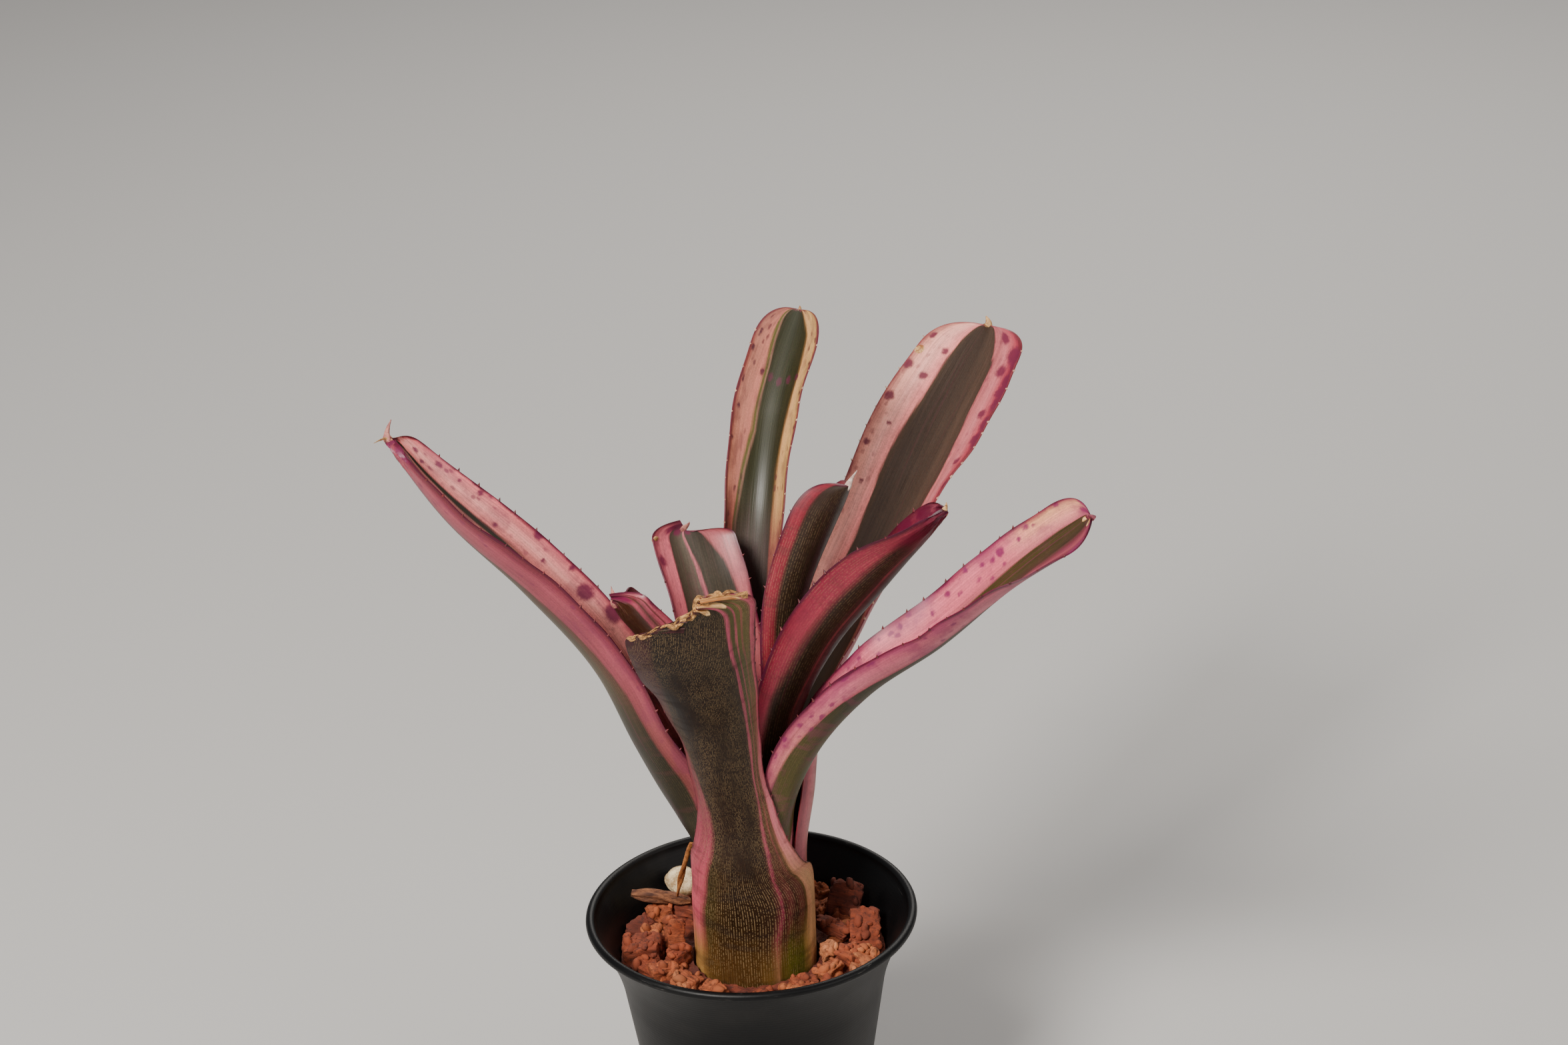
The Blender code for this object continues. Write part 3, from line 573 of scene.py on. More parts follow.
def grid_piece(name, points, material):
    """A closed body from rings of points (ring, step, xyz), its two ends drawn to their middles."""
    rings, steps = points.shape[:2]
    shape = bmesh.new()
    verts = [[shape.verts.new(p) for p in ring] for ring in points]
    for low, high in zip(verts, verts[1:]):
        for step in range(steps):
            after = (step + 1) % steps
            shape.faces.new((low[step], low[after], high[after], high[step]))
    for ring, centre in ((verts[0], points[0].mean(0)), (verts[-1], points[-1].mean(0))):
        middle = shape.verts.new(centre)
        for step in range(steps):
            shape.faces.new((middle, ring[step], ring[(step + 1) % steps]))
    bmesh.ops.recalc_face_normals(shape, faces=shape.faces)
    piece = stand(name, bpy.data.meshes.new(name))
    shape.to_mesh(piece.data)
    shape.free()
    piece.data.materials.append(material)
    return piece


def unit(vectors):
    """The same directions at length 1."""
    return vectors / np.linalg.norm(vectors, axis=-1, keepdims=True)


def run_along(points):
    """Each point's distance along the line through them all."""
    return np.concatenate([[0.0], np.cumsum(np.linalg.norm(np.diff(points, axis=0), axis=1))])


def through(knots, rows, at):
    """A smooth curve through rows of values at uneven knots, read at the places `at`."""
    slope = np.empty_like(rows)
    step = np.diff(knots)
    chord = np.diff(rows, axis=0) / step[:, None]
    slope[0], slope[-1] = chord[0], chord[-1]
    before, after = step[:-1, None], step[1:, None]
    slope[1:-1] = (chord[:-1] * after + chord[1:] * before) / (before + after)
    cell = np.clip(np.searchsorted(knots, at, side="right") - 1, 0, len(knots) - 2)
    width = step[cell][:, None]
    x = ((at - knots[cell]) / step[cell])[:, None]
    return ((2 * x**3 - 3 * x**2 + 1) * rows[cell] + (x**3 - 2 * x**2 + x) * width * slope[cell]
            + (3 * x**2 - 2 * x**3) * rows[cell + 1] + (x**3 - x**2) * width * slope[cell + 1])


def stick(name, stations, material, ridges, ridge_depth, flatness, sides=40, rings=90):
    """A ridged stick or ribbon through (x, y, z, radius) stations in mm."""
    rows = np.array(stations, float) * MM
    knots = run_along(rows[:, :3])
    path = through(knots, rows, np.linspace(0, knots[-1], rings))
    ahead = np.gradient(path[:, :3], axis=0)
    across = unit(np.cross(ahead, (0, 1, 0.3)))
    other = unit(np.cross(ahead, across))
    turn = np.linspace(0, 2 * math.pi, sides, endpoint=False)
    swell = 1 + ridge_depth * np.cos(ridges * turn[None, :] + 3 * np.sin(np.arange(rings) / 17)[:, None])
    reach = path[:, 3, None] * swell
    points = (path[:, None, :3] + (reach * np.cos(turn))[..., None] * across[:, None]
              + (flatness * reach * np.sin(turn))[..., None] * other[:, None])
    return grid_piece(name, points, material)


bpy.ops.mesh.primitive_uv_sphere_add(segments=72, ring_count=40, radius=0.5)
pebble = bpy.context.active_object
pebble.name = "pebble"
pebble.data.transform(Matrix.Diagonal((*PEBBLE_SIZE, 1000)) * MM)
for v in pebble.data.vertices:
    v.co *= 1 + 0.16 * noise.noise(v.co * 210) + 0.05 * noise.noise(v.co * 700)
pebble.data.transform(Matrix.Translation(Vector(PEBBLE_AT) * MM))
pebble.data.materials.append(rough_finish("cream pebble", (150, 120, 82), (236, 214, 172), 3 * MM))
show(pebble, "pebble_stone", "pebble")

bark = rough_finish("dry bark", (66, 36, 26), (150, 96, 62), 2 * MM, (0.3, 1.5, 1.5), depth=0.4 * MM)
show(stick("splinter", SPLINTER, bark, 5, 0.16, 1.0), "dry_wood", "splinter")
straw = rough_finish("dead leaf", (120, 62, 28), (206, 132, 68), 1 * MM, (1, 1, 0.2), depth=0.1 * MM)
show(stick("dry_strand", STRAND, straw, 2, 0.35, 0.45), "dry_leaf", "dry_strand")


# ---- The stem ----------------------------------------------------------------------------------
# The short woody stem that every sheath grows from stays as it was built; it is only seen from
# below, so it gets a plain corky finish.
cork = rough_finish("stem tissue", (70, 50, 32), (128, 98, 62), 3 * MM, (1, 1, 0.4))
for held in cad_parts["stem"].material_slots:
    held.material = cork


# ---- The front leaf ----------------------------------------------------------------------------
# A thick strap with a waist, standing in front of the others: olive-brown with silvery dots and
# bars, pink lines down its sides, and a torn, dried top.  All leaves grow by the formulas here.
TUBE_RADIUS = 16.3 * MM
SHEATH_FOOT = 60 * MM
STEM_TOP, STEM_SHOULDER = (3.0 * MM, 69 * MM), (TUBE_RADIUS + 0.6 * MM, SHEATH_FOOT - 0.7 * MM)
CREASE_RUN = 22 * MM                     # a blade's keel sharpens over this length
END_ROUND, CREASE_ROUND = 2.6, 2.2       # powers that shape a blade's end and its keel
LEAF_COLUMNS = 44
ROW_STEP = 1.1 * MM
MIDDLE_THICK, MARGIN_THICK = 0.8 * MM, 0.36 * MM
THORN_STEP, THORN_LENGTH, THORN_LEAN = 6.3 * MM, 1.15 * MM, 0.5
THORN_FOOT, THORN_POINT = 0.5 * MM, 0.05 * MM              # radii
BARE_TIP = 4 * MM                        # of a margin, without thorns
DOT_ROWS = 0.7 * MM                      # between the rows of silvery dots outside a leaf
DYE_DEPTH = 1.22                         # above 1 deepens the stripes, the dark ones most
SILVER = (176, 146, 104)                 # of the dots
BLOT_CELLS = (330, 250, 1)               # a metre across and along holds so many
SKIN_GRAINS = {                          # repeats a metre across, along, between leaves; detail, rough
    "vein": ((2300, 60, 1), 2), "broad vein": ((420, 22, 1), 3), "red vein": ((1300, 14, 3), 1),
    "cloud": ((75, 48, 1), 4), "speck": ((2300, 1900, 1), 2), "sway": ((500, 25, 1), 1),
    "gap": ((1500, 1700, 1), 1), "bar": ((60, 310, 1), 4, 0.6), "warp": ((900, 900, 1), 3),
    "smudge": ((190, 110, 5), 3, 0.6), "crowd": ((90, 50, 2), 3), "rim": ((300, 170, 1), 3),
    "fibre": ((500, 700, 1), 4)}
FREE_RUN = 25 * MM                       # above the sheath, before the margins wave fully
SHEATH_ROWS, TIP_ROWS = 18, 20
HORN_FORM = ((-0.3, 0.75), (0, 1), (0.35, 0.72), (0.7, 0.45), (1, 0.12))     # share of length, radius


def leaf_rows(sheath, blade):
    """Every row of a leaf in metres and degrees, the sheath's three and then the blade's."""
    low, high = [(reach, azimuth, height, reach * math.radians(wrap), wrap, roll)
                 for reach, azimuth, height, wrap, roll in sheath]
    middle = tuple((a + b) / 2 for a, b in zip(low, high))
    rows = np.array([low, middle, high] + blade, float)
    rows[:, [0, 2, 3]] *= MM
    (r0, z0), (r1, z1) = STEM_TOP, STEM_SHOULDER
    rows[0, 2] += z0 + (z1 - z0) * max(0.0, rows[0, 0] - 1.6 * MM - r0) / (r1 - r0) + GAP
    rows[1, 2] = (rows[0, 2] + rows[2, 2]) / 2
    return rows


def leaf_surface(sheath, blade, tip, vee, slant):
    """A leaf's middle surface: points and normals facing the plant's axis, by row and column,
    with each row's distance along the leaf, half width and forward direction."""
    rows = leaf_rows(sheath, blade)
    azimuth = np.radians(rows[:, 1])
    rib = np.stack([PLANT_X + rows[:, 0] * np.cos(azimuth), rows[:, 0] * np.sin(azimuth),
                    rows[:, 2]], 1)
    knots = run_along(rib)
    length, tip = knots[-1], tip * MM
    at = np.concatenate([np.linspace(0, knots[2], SHEATH_ROWS)[:-1],
                         np.linspace(knots[2], length - tip, round((length - tip - knots[2]) / ROW_STEP)),
                         length - tip * np.linspace(1, 0.02, TIP_ROWS)[1:] ** 1.6])
    centre = through(knots, rib, at)
    heading, half, fold, roll = through(knots, rows[:, [1, 3, 4, 5]], at).T
    nudge = 0.001 * length
    forward = unit(through(knots, rib, np.minimum(at + nudge, length))
                   - through(knots, rib, np.maximum(at - nudge, 0.0)))
    heading, fold, roll = np.radians(heading), np.radians(fold), np.radians(roll)
    side = np.stack([-np.sin(heading), np.cos(heading), np.zeros_like(heading)], 1)
    side = unit(side - (side * forward).sum(1)[:, None] * forward)
    up = np.cross(forward, side)
    turn = roll[:, None]
    side, up = side * np.cos(turn) + up * np.sin(turn), up * np.cos(turn) - side * np.sin(turn)
    near_end = np.clip((length - at) / tip, 0.0, 1.0)
    half = half * (1 - (1 - near_end) ** END_ROUND) ** (1 / END_ROUND)

    share = np.linspace(0.0, 1.0, LEAF_COLUMNS // 2 + 1)[None, :]
    crease = (vee * np.clip((at - knots[2]) / CREASE_RUN, 0.0, 1.0))[:, None]
    angle = fold[:, None] * ((1 - crease) * share + crease * (1 - (1 - share) ** CREASE_ROUND))
    step = half[:, None] / (LEAF_COLUMNS // 2)
    sums_of = [np.cumsum((f(angle[:, 1:]) + f(angle[:, :-1])) / 2 * step, axis=1)
               for f in (np.cos, np.sin)]
    out, lift = [np.concatenate([np.zeros((len(at), 1)), total], 1)[..., None] for total in sums_of]
    angle, side, up = angle[..., None], side[:, None], up[:, None]
    halves = [(centre[:, None] + sign * out * side + lift * up,
               np.cos(angle) * up - sign * np.sin(angle) * side) for sign in (-1, 1)]
    points, normals = [np.concatenate([halves[0][i][:, :0:-1], halves[1][i]], 1) for i in (0, 1)]
    across = np.linspace(-1, 1, LEAF_COLUMNS + 1)
    reach = slant * MM * (across - 0.5) * (np.clip(at / length, 0, 1) ** 5)[:, None]
    points = points + forward[:, None, :] * reach[:, :, None]
    return points, normals, at, half, forward, knots[2]


def spots_at(places, at, across, half):
    """A field over a leaf that is 1 within its places: (share of length, across, radius in mm)."""
    field = np.zeros((len(at), len(across)))
    for share, column, radius in places:
        far = np.hypot(at[:, None] - share * at[-1], (across - column)[None, :] * half.max())
        field = np.maximum(field, np.clip(1.5 - far / (radius * MM), 0, 1))
    return field


def grow(name, sheath, blade, tip, vee, slant, bands, ripple=(0.5, 17), end=((0, 0),), curl=(9, 0),
         crumple=0.0, dry=(), marks=(), seed=1.0):
    """One leaf as a closed mesh, and its middle surface.  `ripple` waves the margins by (height, run)
    in mm, `curl` bends the last (run, height), `crumple` creases the end, and `end` lengthens it by
    (across, mm).  `bands` holds (share of length, left, right) where the middle stripe's edges lie;
    `dry` and `marks` hold (share of length, across, radius in mm) spots."""
    points, normals, at, half, forward, sheath_top = leaf_surface(sheath, blade, tip, vee, slant)
    across = np.linspace(-1, 1, LEAF_COLUMNS + 1)
    length = at[-1]
    free = np.clip((at - sheath_top) / FREE_RUN, 0, 1)[:, None]
    phase = 2 * math.pi * at[:, None] / (ripple[1] * MM) + np.where(across < 0, 1.9, 0)[None, :] + seed
    wave = np.sin(phase) + 0.6 * np.sin(0.43 * phase + 2 * seed)           # never quite repeats
    near_end = np.clip(1 - (length - at) / (curl[0] * MM), 0, 1)[:, None]
    fold = np.sin(across * 19 + seed) + 0.7 * np.sin(across * 43 + at[:, None] * 900)
    lift = (ripple[0] * wave * np.abs(across) ** 4 * free + curl[1] * near_end ** 2
            + crumple * fold * near_end ** 1.5) * MM
    ends = np.array(end, float)
    longer = np.interp(across, ends[:, 0], ends[:, 1])[None, :] * near_end ** 2 * MM
    points = points + normals * lift[..., None] + forward[:, None] * longer[..., None]

    rows, columns = len(at), LEAF_COLUMNS + 1
    thick = MARGIN_THICK + (MIDDLE_THICK - MARGIN_THICK) * (1 - across ** 4)
    both = np.concatenate([points - normals * thick[None, :, None] / 2,
                           points + normals * thick[None, :, None] / 2]).reshape(-1, 3)
    grid = np.arange(rows * columns).reshape(rows, columns)
    other = grid + rows * columns
    faces = [(grid[:-1, :-1], grid[:-1, 1:], grid[1:, 1:], grid[1:, :-1]),
             (other[:-1, :-1], other[1:, :-1], other[1:, 1:], other[:-1, 1:]),
             (grid[:-1, 0], grid[1:, 0], other[1:, 0], other[:-1, 0]),
             (grid[:-1, -1], other[:-1, -1], other[1:, -1], grid[1:, -1]),
             (grid[0, :-1], other[0, :-1], other[0, 1:], grid[0, 1:]),
             (grid[-1, :-1], grid[-1, 1:], other[-1, 1:], other[-1, :-1])]
    quads = np.concatenate([np.stack([c.ravel() for c in corners], 1) for corners in faces])
    mesh = bpy.data.meshes.new(name)
    mesh.from_pydata(both.tolist(), [], quads.tolist())

    table = np.array(bands, float)
    share = at / length
    left, right = (np.interp(share, table[:, 0], table[:, i]) for i in (1, 2))
    band = np.stack([np.interp(across, [-1, lo, hi, 1], [0, 0.25, 0.75, 1])
                     for lo, hi in zip(left, right)])
    edge = np.minimum((1 - np.abs(across))[None, :] * half[:, None], length - at[:, None])
    fields = {"band": np.stack(np.broadcast_arrays(band, share[:, None], across[None, :]), -1),
              "flat": np.stack(np.broadcast_arrays(across[None, :] * half.max(), at[:, None],
                                                   seed * 0.37), -1),
              "edge": edge, "dry": spots_at(dry, at, across, half),
              "mark": spots_at(marks, at, across, half)}
    for label, values in fields.items():
        vector = values.ndim == 3
        layer = mesh.attributes.new(label, 'FLOAT_VECTOR' if vector else 'FLOAT', 'POINT')
        layer.data.foreach_set("vector" if vector else "value", np.concatenate([values, values]).ravel())
    face = mesh.attributes.new("inside", 'FLOAT', 'POINT')
    face.data.foreach_set("value", np.repeat([0.0, 1.0], rows * columns))
    return stand(name, mesh), {"points": points, "normals": normals, "at": at, "forward": forward,
                               "sheath_top": sheath_top}


def leaf_skin():
    """What all the leaves' skins share: veins, rows of silvery dots, bars, blots and dry places."""
    tree, given = new_group(
        "leaf skin", 'ShaderNodeTree',
        {"Colour": "Color", "Flat": "Vector", "Edge": "Float", "Dry": "Float", "Mark": "Float",
         "Inside": "Float", "Dots": "Float", "Bars": "Float", "Blots": "Float", "Blot": "Color",
         "Rim": "Color", "Dead": "Color", "Straw": "Color", "Bar": "Color"},
        {"Colour": "Color", "Roughness": "Float", "Height": "Float"})
    flat = given["Flat"]

    def pattern(label):
        return grain(flat, 1, *SKIN_GRAINS[label])

    # veins, fine and broad, with specks
    veins, broad, cloud = pattern("vein"), pattern("broad vein"), pattern("cloud")
    both = times_plus(minus(pattern("speck"), 0.5), 0.45, plus(times(veins, 0.5), times(broad, 0.5)))
    tone = add("ShaderNodeMapRange", {"Value": both, "From Min": 0.3, "From Max": 0.7,
                                      "To Min": 0.66, "To Max": 1.18}).outputs["Result"]
    grey = add("ShaderNodeCombineColor", {0: tone, 1: tone, 2: tone}).outputs[0]
    colour = mix(1.0, given["Colour"], grey, 'MULTIPLY')
    red_vein = rise(pattern("red vein"), 0.6, 0.74)
    colour = mix(times(red_vein, times(given["Blots"], 0.35)), colour, given["Blot"])
    lightness = add("ShaderNodeRGBToBW", {0: given["Colour"]}).outputs[0]
    blots = times(rise(lightness, 0.035, 0.1), given["Blots"])

    # rows of silvery dots and crosswise bars, both mostly outside
    outside = minus(1.0, given["Inside"])
    across = add("ShaderNodeSeparateXYZ", {0: flat}).outputs["X"]
    row = sums('SINE', times_plus(across, 2 * math.pi / DOT_ROWS, times(pattern("sway"), 5.0)))
    dots = times(rise(row, 0.1, 0.9), rise(pattern("gap"), 0.4, 0.56))
    dots = times(times(dots, rise(cloud, 0.32, 0.58)), given["Dots"])
    dots = times(dots, times_plus(outside, 0.75, 0.25))
    colour = mix(times(dots, 0.52), colour, rgb(*SILVER))
    bars = times(times(rise(pattern("bar"), 0.5, 0.66), given["Bars"]), times_plus(outside, 0.7, 0.3))
    colour = mix(bars, colour, given["Bar"])

    # smudges and crowded blots, more of them by the edge; placed marks; the rim
    warp = pattern("warp")
    by_edge = times(rise(given["Edge"], 4.5 * MM, 0.4 * MM), 0.15)
    smudge = times(rise(plus(pattern("smudge"), by_edge), 0.5, 0.7), blots)
    colour = mix(times(smudge, 0.55), colour, given["Blot"])
    cell = add("ShaderNodeVectorMath", {0: flat, 1: BLOT_CELLS}, operation='MULTIPLY').outputs[0]
    distance = add("ShaderNodeTexVoronoi", {"Vector": cell, "Scale": 1.0}).outputs["Distance"]
    blot = rise(times_plus(warp, 0.4, distance), 0.52, 0.32)
    crowd = rise(plus(pattern("crowd"), by_edge), 0.46, 0.62)
    colour = mix(times(times(blot, crowd), blots), colour, given["Blot"])
    mark = rise(times_plus(warp, 0.6, given["Mark"]), 0.65, 1.25)
    colour = mix(times(mark, 0.9), colour, given["Blot"])
    rim = times_plus(pattern("rim"), 2.0 * MM, given["Edge"])
    colour = mix(rise(rim, 1.75 * MM, 0.85 * MM), colour, given["Rim"])

    # dry places, then what all this does to the shine and the relief
    dry = rise(times_plus(cloud, 0.5, given["Dry"]), 0.62, 0.8)
    fibre = rise(pattern("fibre"), 0.38, 0.66)
    colour = mix(dry, colour, mix(fibre, given["Dead"], given["Straw"]))
    rough = times_plus(plus(plus(bars, dots), dry), 0.35, times_plus(veins, 0.2, 0.3))
    height = times_plus(plus(dry, dots), 0.6, times_plus(veins, 0.5, times(broad, 0.9)))
    add("NodeGroupOutput", {"Colour": colour, "Roughness": rough, "Height": height})
    return tree


skin_group = leaf_skin()


def leaf_finish(name, stripes, Dots=0.3, Bars=0.2, Blots=0.3, Blot=(110, 20, 61), Rim=(82, 16, 43),
                Dead=(150, 92, 46), Straw=(230, 190, 134), Bar=(56, 36, 32), gloss=1.0):
    """A leaf's own colours.  `stripes` holds (share of its length, stops across it), foot first;
    each set of stops gives way to the next between their shares."""
    material, tree, shader = new_finish(name)
    band, flat, *read = [add("ShaderNodeAttribute", tree=tree, attribute_name=label)
                         for label in ("band", "flat", "edge", "dry", "mark", "inside")]
    flat = flat.outputs["Vector"]
    band = add("ShaderNodeSeparateXYZ", {0: band.outputs["Vector"]})
    feather = times_plus(grain(flat, 1, (1500, 70, 1)), 0.5, grain(flat, 1, (260, 34, 1), detail=4))
    stripe = times_plus(feather, 0.06, minus(band.outputs["X"], 0.045))
    drift = times_plus(grain(flat, 1, (330, 12, 1)), 0.12, minus(band.outputs["Y"], 0.06))
    colour, before = None, 0
    for share, stops in stripes:
        fresh = ramp(stripe, stops)
        colour = mix(rise(drift, before, share), colour, fresh) if colour else fresh
        before = share
    skin = add("ShaderNodeGroup", tree=tree, node_tree=skin_group)
    feed(skin, Flat=flat, Dots=Dots, Bars=Bars, Blots=Blots, Blot=rgb(*Blot), Rim=rgb(*Rim),
         Dead=rgb(*Dead), Straw=rgb(*Straw), Bar=rgb(*Bar),
         Colour=add("ShaderNodeGamma", {"Color": colour, "Gamma": DYE_DEPTH}).outputs["Color"],
         **{node.attribute_name.capitalize(): node.outputs["Fac"] for node in read})
    feed(shader, Base_Color=skin.outputs["Colour"], Roughness=skin.outputs["Roughness"],
         Normal=bump(skin.outputs["Height"], 0.35, 0.18 * MM), Coat_Weight=0.14 * gloss,
         Coat_Roughness=0.32, Specular_IOR_Level=0.38 * gloss, Subsurface_Weight=0.12,
         Subsurface_Radius=(1.0, 0.45, 0.3), Subsurface_Scale=1.2 * MM)
    return material


def thorn_tree():
    """Stands a thorn on every root point, turned to the point's `out` and as large as its `size`."""
    tree, given = new_group("thorns", 'GeometryNodeTree',
                            {"Geometry": "Geometry", "Thorn": "Object", "Material": "Material"},
                            {"Geometry": "Geometry"})
    out, size = [add("GeometryNodeInputNamedAttribute", {"Name": name}, tree, data_type=kind).outputs[0]
                 for name, kind in (("out", 'FLOAT_VECTOR'), ("size", 'FLOAT'))]
    turn = add("FunctionNodeAlignRotationToVector", {"Vector": out}, axis='Z').outputs[0]
    hand_out(copies(given["Geometry"], given["Thorn"], turn, size), given["Material"])
    return tree


thorns = thorn_tree()
bpy.ops.mesh.primitive_cone_add(vertices=10, radius1=THORN_FOOT, radius2=THORN_POINT, depth=THORN_LENGTH,
                                location=(0, 0, THORN_LENGTH * 0.36))
one_thorn = bpy.context.active_object
one_thorn.data.transform(Matrix.Translation((0, 0, THORN_LENGTH * 0.36)))
one_thorn.location = (0, 0, 0)


def add_thorns(name, form, material, first=0.0, last=1.0, seed=1, scale=1.0):
    """Thorns along both margins of a blade, from one share of its free length to another."""
    draw = random.Random(seed)
    points, at, forward, sheath_top = [form[part] for part in ("points", "at", "forward", "sheath_top")]
    free = at[-1] - sheath_top
    roots, outs, sizes = [], [], []
    for rim, inboard in ((0, 1), (-1, -2)):
        place = sheath_top + first * free
        while place < sheath_top + last * free - BARE_TIP:
            i = int(np.searchsorted(at, place))
            roots.append(points[i, rim])
            outs.append(unit(points[i, rim] - points[i, inboard]) + THORN_LEAN * forward[i])
            sizes.append(scale * draw.uniform(0.6, 1.1))
            place += THORN_STEP * draw.uniform(0.75, 1.25)
    mesh = bpy.data.meshes.new(name)
    mesh.from_pydata([tuple(r) for r in roots], [], [])
    mesh.attributes.new("out", 'FLOAT_VECTOR', 'POINT').data.foreach_set("vector", np.ravel(outs))
    mesh.attributes.new("size", 'FLOAT', 'POINT').data.foreach_set("value", sizes)
    piece = stand(name, mesh)
    use_tree(piece, thorns, Thorn=one_thorn, Material=material)
    return piece


def horn(name, form, column, length, lean, rise_by, radius, material, back=0.0):
    """A dried point or prong at a leaf's end, `column` across and `back` mm behind its last edge,
    leaning sideways and inwards."""
    points, normals = form["points"], form["normals"]
    j = round((column + 1) / 2 * LEAF_COLUMNS)
    row = min(int(np.searchsorted(form["at"], form["at"][-1] - back * MM)), len(form["at"]) - 2)
    start, normal = points[row, j], normals[row, j]
    ahead = unit(points[-1, j] - points[-6, j])
    side = unit(points[-8, -1] - points[-8, 0])
    stations = []
    for share, size in HORN_FORM:
        bend = max(share, 0) ** 2
        place = start + (ahead * share + side * lean * bend + normal * rise_by * bend) * length * MM
        stations.append((*(place / MM), radius * size))
    return stick(name, stations, material, 3, 0.12, 0.6, sides=14, rings=20)


def dried_edge(name, form, reach, radii, seed):
    """A crumpled, dried roll along the outline of a leaf's last `reach` mm."""
    draw = random.Random(seed)
    points = form["points"]
    near = points[form["at"] > form["at"][-1] - reach * MM].reshape(-1, 3)
    ahead = form["forward"][-1]
    sideways = near @ unit(points[-8, -1] - points[-8, 0])
    steps = np.linspace(sideways.min(), sideways.max(), 24)
    stations = []
    for low, high in zip(steps[:-1], steps[1:]):
        here = near[(sideways >= low) & (sideways <= high)]
        top = here[np.argmax(here @ ahead)] - ahead * 0.4 * MM
        place = [value + draw.uniform(-0.55, 0.55) * MM for value in top]
        thicker = 0.6 + 0.5 * (low - steps[0]) / (steps[-1] - steps[0])
        stations.append((*(value / MM for value in place), draw.uniform(*radii) * thicker))
    return stick(name, stations, dry_edge, 5, 0.35, 0.6, sides=16, rings=150)


def show_leaf(node, body_slot, leaf, material, *extras):
    """Dress a leaf and its thorns and points."""
    leaf.data.materials.append(material)
    for piece in (leaf, *extras):
        show(piece, body_slot, node, soften=50)


tan_tip = rough_finish("dried leaf point", (150, 96, 48), (226, 184, 128), 1.2 * MM, rough=0.6)
pink_tip = rough_finish("dried pink point", (120, 52, 58), (206, 140, 126), 1.2 * MM, rough=0.5)
dark_thorn = rough_finish("dark thorn", (58, 12, 25), (118, 38, 41), 1.0 * MM, rough=0.45)
pale_thorn = rough_finish("pale thorn", (148, 90, 83), (226, 190, 160), 1.0 * MM, rough=0.45)
dry_edge = rough_finish("dried leaf edge", (92, 58, 36), (208, 154, 90), 1.6 * MM, rough=0.75)

leaf, form = grow(
    "leaf_front", [(16.3, 264, 0, 100, 0), (16.4, 263, 88, 98, 0)],
    [(16.5, 259, 96, 21.5, 75, 0), (17.0, 259, 103, 16.8, 57, 0), (17.2, 258, 110, 13.3, 48, 1),
     (19.3, 255, 121, 12, 60, 5), (22.5, 254, 132, 12, 66, 10), (26.5, 254, 146, 13.5, 57, 14),
     (34, 254, 161, 15, 44, 16), (42, 254, 176, 16.5, 30, 17), (47, 256, 193, 17, 20, 18)],
    tip=6, vee=0, slant=6, ripple=(0.3, 21), curl=(5, -0.6), crumple=0.5, seed=1.0,
    bands=[(0, -0.42, 0.3), (0.13, -0.45, 0.28), (0.3, -0.44, 0.48), (0.42, -0.43, 0.64),
           (0.55, -0.7, 0.7), (0.63, -0.88, 0.64), (0.8, -0.6, 0.62), (1, -0.55, 0.5)],
    end=((-1, 0), (-0.5, 2.4), (0, 1.6), (0.5, 0.4), (1, 0)),
    dry=[(1, -0.3, 1.3), (1, 0, 1.8), (1, 0.3, 2), (1, 0.6, 2), (1, 0.9, 1.6)],
    # These marks darken the top-left corner with the Blot colour: painted shade under the torn, dried
    # top.
    marks=[(1, -0.9, 4), (1, -0.6, 3), (0.96, -0.95, 3)])
foot = [(0, 190, 150, 95), (20, 178, 138, 84), (25, 112, 84, 46), (40, 92, 66, 36), (60, 96, 70, 38),
        (70, 120, 92, 50), (73.5, 140, 104, 72), (74.5, 158, 116, 86), (75.7, 116, 94, 48),
        (80, 112, 106, 44), (84.5, 116, 120, 44), (87.5, 200, 170, 104), (90, 222, 182, 134),
        (100, 206, 160, 112)]
low = [(0, 190, 88, 104), (5, 226, 120, 136), (20, 214, 104, 122), (24.5, 140, 78, 78),
       (26.2, 86, 74, 44), (36, 76, 56, 32), (45, 58, 40, 24), (60, 60, 41, 26), (70, 74, 52, 40),
       (73, 112, 60, 62), (74.2, 150, 72, 88), (75.2, 134, 64, 76), (76.5, 88, 54, 44), (79, 120, 66, 64),
       (81, 84, 56, 42), (84, 128, 76, 66), (86, 112, 88, 52), (87.5, 214, 158, 126), (92, 226, 180, 138),
       (100, 206, 156, 112)]
waist = [(0, 158, 64, 85), (20, 146, 72, 86), (25, 60, 40, 30), (50, 52, 36, 25), (70, 60, 43, 29),
         (72.8, 84, 58, 48), (74.2, 172, 92, 108), (75.6, 158, 82, 96), (76.8, 92, 66, 50),
         (80, 104, 76, 54), (82.5, 150, 84, 84), (84, 98, 74, 52), (88, 120, 78, 64), (90, 206, 120, 132),
         (96, 214, 130, 142), (100, 190, 94, 108)]
# In the top stops the left margin (up to about 18) is near black: painted shade under the dried top, not
# the leaf's own pink.
top = [(0, 72, 30, 42), (18, 70, 34, 40), (25, 38, 24, 18), (45, 46, 32, 22), (60, 54, 39, 25),
       (73, 64, 50, 32), (74.2, 180, 90, 112), (75.6, 160, 80, 98), (76.8, 86, 82, 46),
       (79.5, 90, 84, 48), (80.8, 172, 92, 106), (82, 94, 90, 50), (85.5, 100, 94, 54), (87, 150, 92, 84),
       (88.5, 104, 98, 56), (93, 112, 92, 62), (95, 196, 98, 120), (100, 180, 82, 106)]
